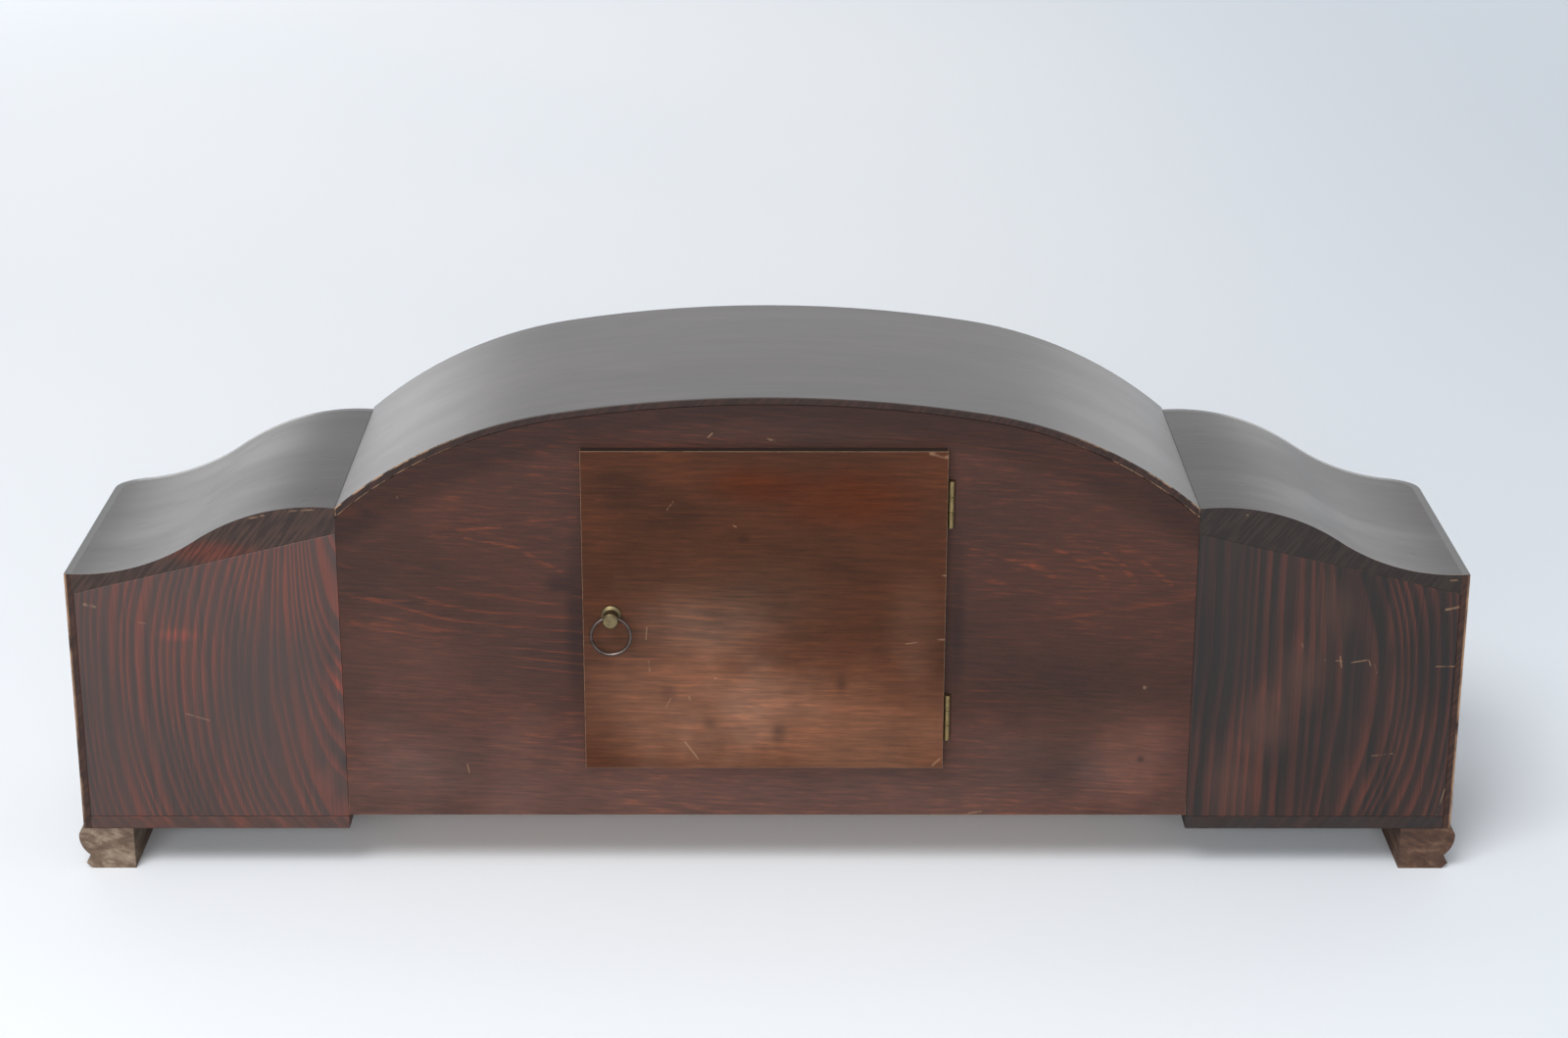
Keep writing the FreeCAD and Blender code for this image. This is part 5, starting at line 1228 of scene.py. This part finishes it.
@dataclass
class Studio:
    """Pale paper floor, soft light and the camera behind the clock, in metres and radians."""

    floor_half: float = 14.0
    paper: Tone = tone(236, 239, 243)
    paper_cloud: Tone = tone(228, 233, 239)
    # Painted shade on the paper, full at this reach along X.
    paper_painted_shade: Tone = tone(220, 227, 235)
    painted_shade_reach: float = -0.9
    paper_rough: float = 0.9
    paper_shine: float = 0.1
    room_tone: Tone = (0.95, 0.975, 1.0, 1.0)
    room_light: float = 0.42
    backdrop_light: float = 1.0
    lens: float = 72.24
    sensor: float = 36.0
    height: float = 0.7366
    distance: float = 1.5059
    aside: float = 0.0023
    tilt: float = 0.34447
    yaw: float = 0.0040
    roll: float = 0.0020
    rear: float = field(default_factory=lambda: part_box("back_panel")[1].y)
    boxes: tuple[SoftBox, ...] = (
        SoftBox("key_box", (1.1, 1.9, 3.2), (0.0, 0.1, 0.1), (1.8, 1.8), 84.0),
        SoftBox("fill_box", (0.4, 3.4, 1.1), (0.0, 0.1, 0.3), (3.0, 1.3), 31.0, 100.0),
        SoftBox("far_box", (1.2, -2.7, 3.2), (1.2, -2.7, 0.0), (3.0, 3.0), 10.0, 90.0),
        SoftBox("left_card", (1.75, -2.9, 0.8), (0.1, 0.0, 0.2), (1.5, 1.5), 8.0),
        SoftBox("right_card", (-1.75, -2.9, 0.8), (-0.1, 0.0, 0.2), (1.5, 1.5), 4.5),
        SoftBox("back_card", (0.0, -3.2, 1.5), (0.0, 0.0, 0.25), (4.0, 1.2), 5.0),
    )

    def build(self) -> None:
        """Sets the stage."""
        self.floor()
        self.room()
        for box in self.boxes:
            box.build()
        self.camera()
        bpy.context.scene.view_settings.view_transform = "Standard"

    def floor(self) -> None:
        """Lays the floor, slightly mottled like seamless paper, with painted shade that darkens it towards
        -X.
        """
        shape = bmesh.new()
        bmesh.ops.create_grid(shape, x_segments=1, y_segments=1, size=self.floor_half)
        mesh = bpy.data.meshes.new("floor")
        shape.to_mesh(mesh)
        shape.free()
        floor = bpy.data.objects.new("floor", mesh)
        bpy.context.scene.collection.objects.link(floor)
        g = Graph("floor_paper")
        fog = g.noise(g.point, 1.2, 2.0)
        colour = g.mix(g.span(fog, 0.3, 0.7, 0.0, 0.35), self.paper, self.paper_cloud)
        # Painted shade: the paper darkens towards -X where the light falls off.
        colour = g.mix(g.span(g.x, 0.0, self.painted_shade_reach), colour, self.paper_painted_shade)
        finish = g.surface(colour, self.paper_rough, Specular_IOR_Level=self.paper_shine)
        floor.data.materials.append(finish)
        floor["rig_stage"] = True

    def room(self) -> None:
        """Fills the room with pale light, with a brighter backdrop and reflections."""
        world = bpy.data.worlds.new("room")
        world.use_nodes = True
        bpy.context.scene.world = world
        nodes, links = world.node_tree.nodes, world.node_tree.links
        path = nodes.new("ShaderNodeLightPath")
        seen = path.outputs["Is Camera Ray"]
        for kind in ("Is Glossy Ray", "Is Transmission Ray"):
            either = nodes.new("ShaderNodeMath")
            either.operation = "MAXIMUM"
            links.new(seen, either.inputs[0])
            links.new(path.outputs[kind], either.inputs[1])
            seen = either.outputs[0]
        strength = nodes.new("ShaderNodeMapRange")
        strength.inputs["To Min"].default_value = self.room_light
        strength.inputs["To Max"].default_value = self.backdrop_light
        links.new(seen, strength.inputs["Value"])
        background = nodes["Background"]
        background.inputs["Color"].default_value = self.room_tone
        links.new(strength.outputs[0], background.inputs["Strength"])

    def camera(self) -> None:
        """Places the camera behind the clock, looking down at it."""
        level = math.cos(self.tilt)
        forward = Vector((-math.sin(self.yaw) * level, -math.cos(self.yaw) * level, -math.sin(self.tilt)))
        right = Vector((-math.cos(self.yaw), math.sin(self.yaw), 0.0))
        up = right.cross(forward)
        across = right * math.cos(self.roll) + up * math.sin(self.roll)
        above = up * math.cos(self.roll) - right * math.sin(self.roll)
        data = bpy.data.cameras.new("camera")
        data.lens = self.lens
        data.sensor_width = self.sensor
        camera = bpy.data.objects.new("camera", data)
        turn = Matrix((across, above, -forward)).transposed().to_4x4()
        spot = Vector((-self.aside, self.rear + self.distance, self.height))
        camera.matrix_world = Matrix.Translation(spot) @ turn
        bpy.context.scene.collection.objects.link(camera)
        bpy.context.scene.camera = camera


def main() -> None:
    """Builds the clock's looks and its studio, and measures the bounds."""
    logging.basicConfig(level=logging.INFO)
    for assembly in (Studio(), Case(), RearDoor(), DialFront(), Movement()):
        assembly.build()
        LOG.info("%s built", type(assembly).__name__)
    bpy.context.view_layer.update()
    boxes = {"cad": CAD_BOX, "visual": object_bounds()}
    {name: [list(corner) for corner in box] for name, box in boxes.items()}


if __name__ == "__main__":
    main()
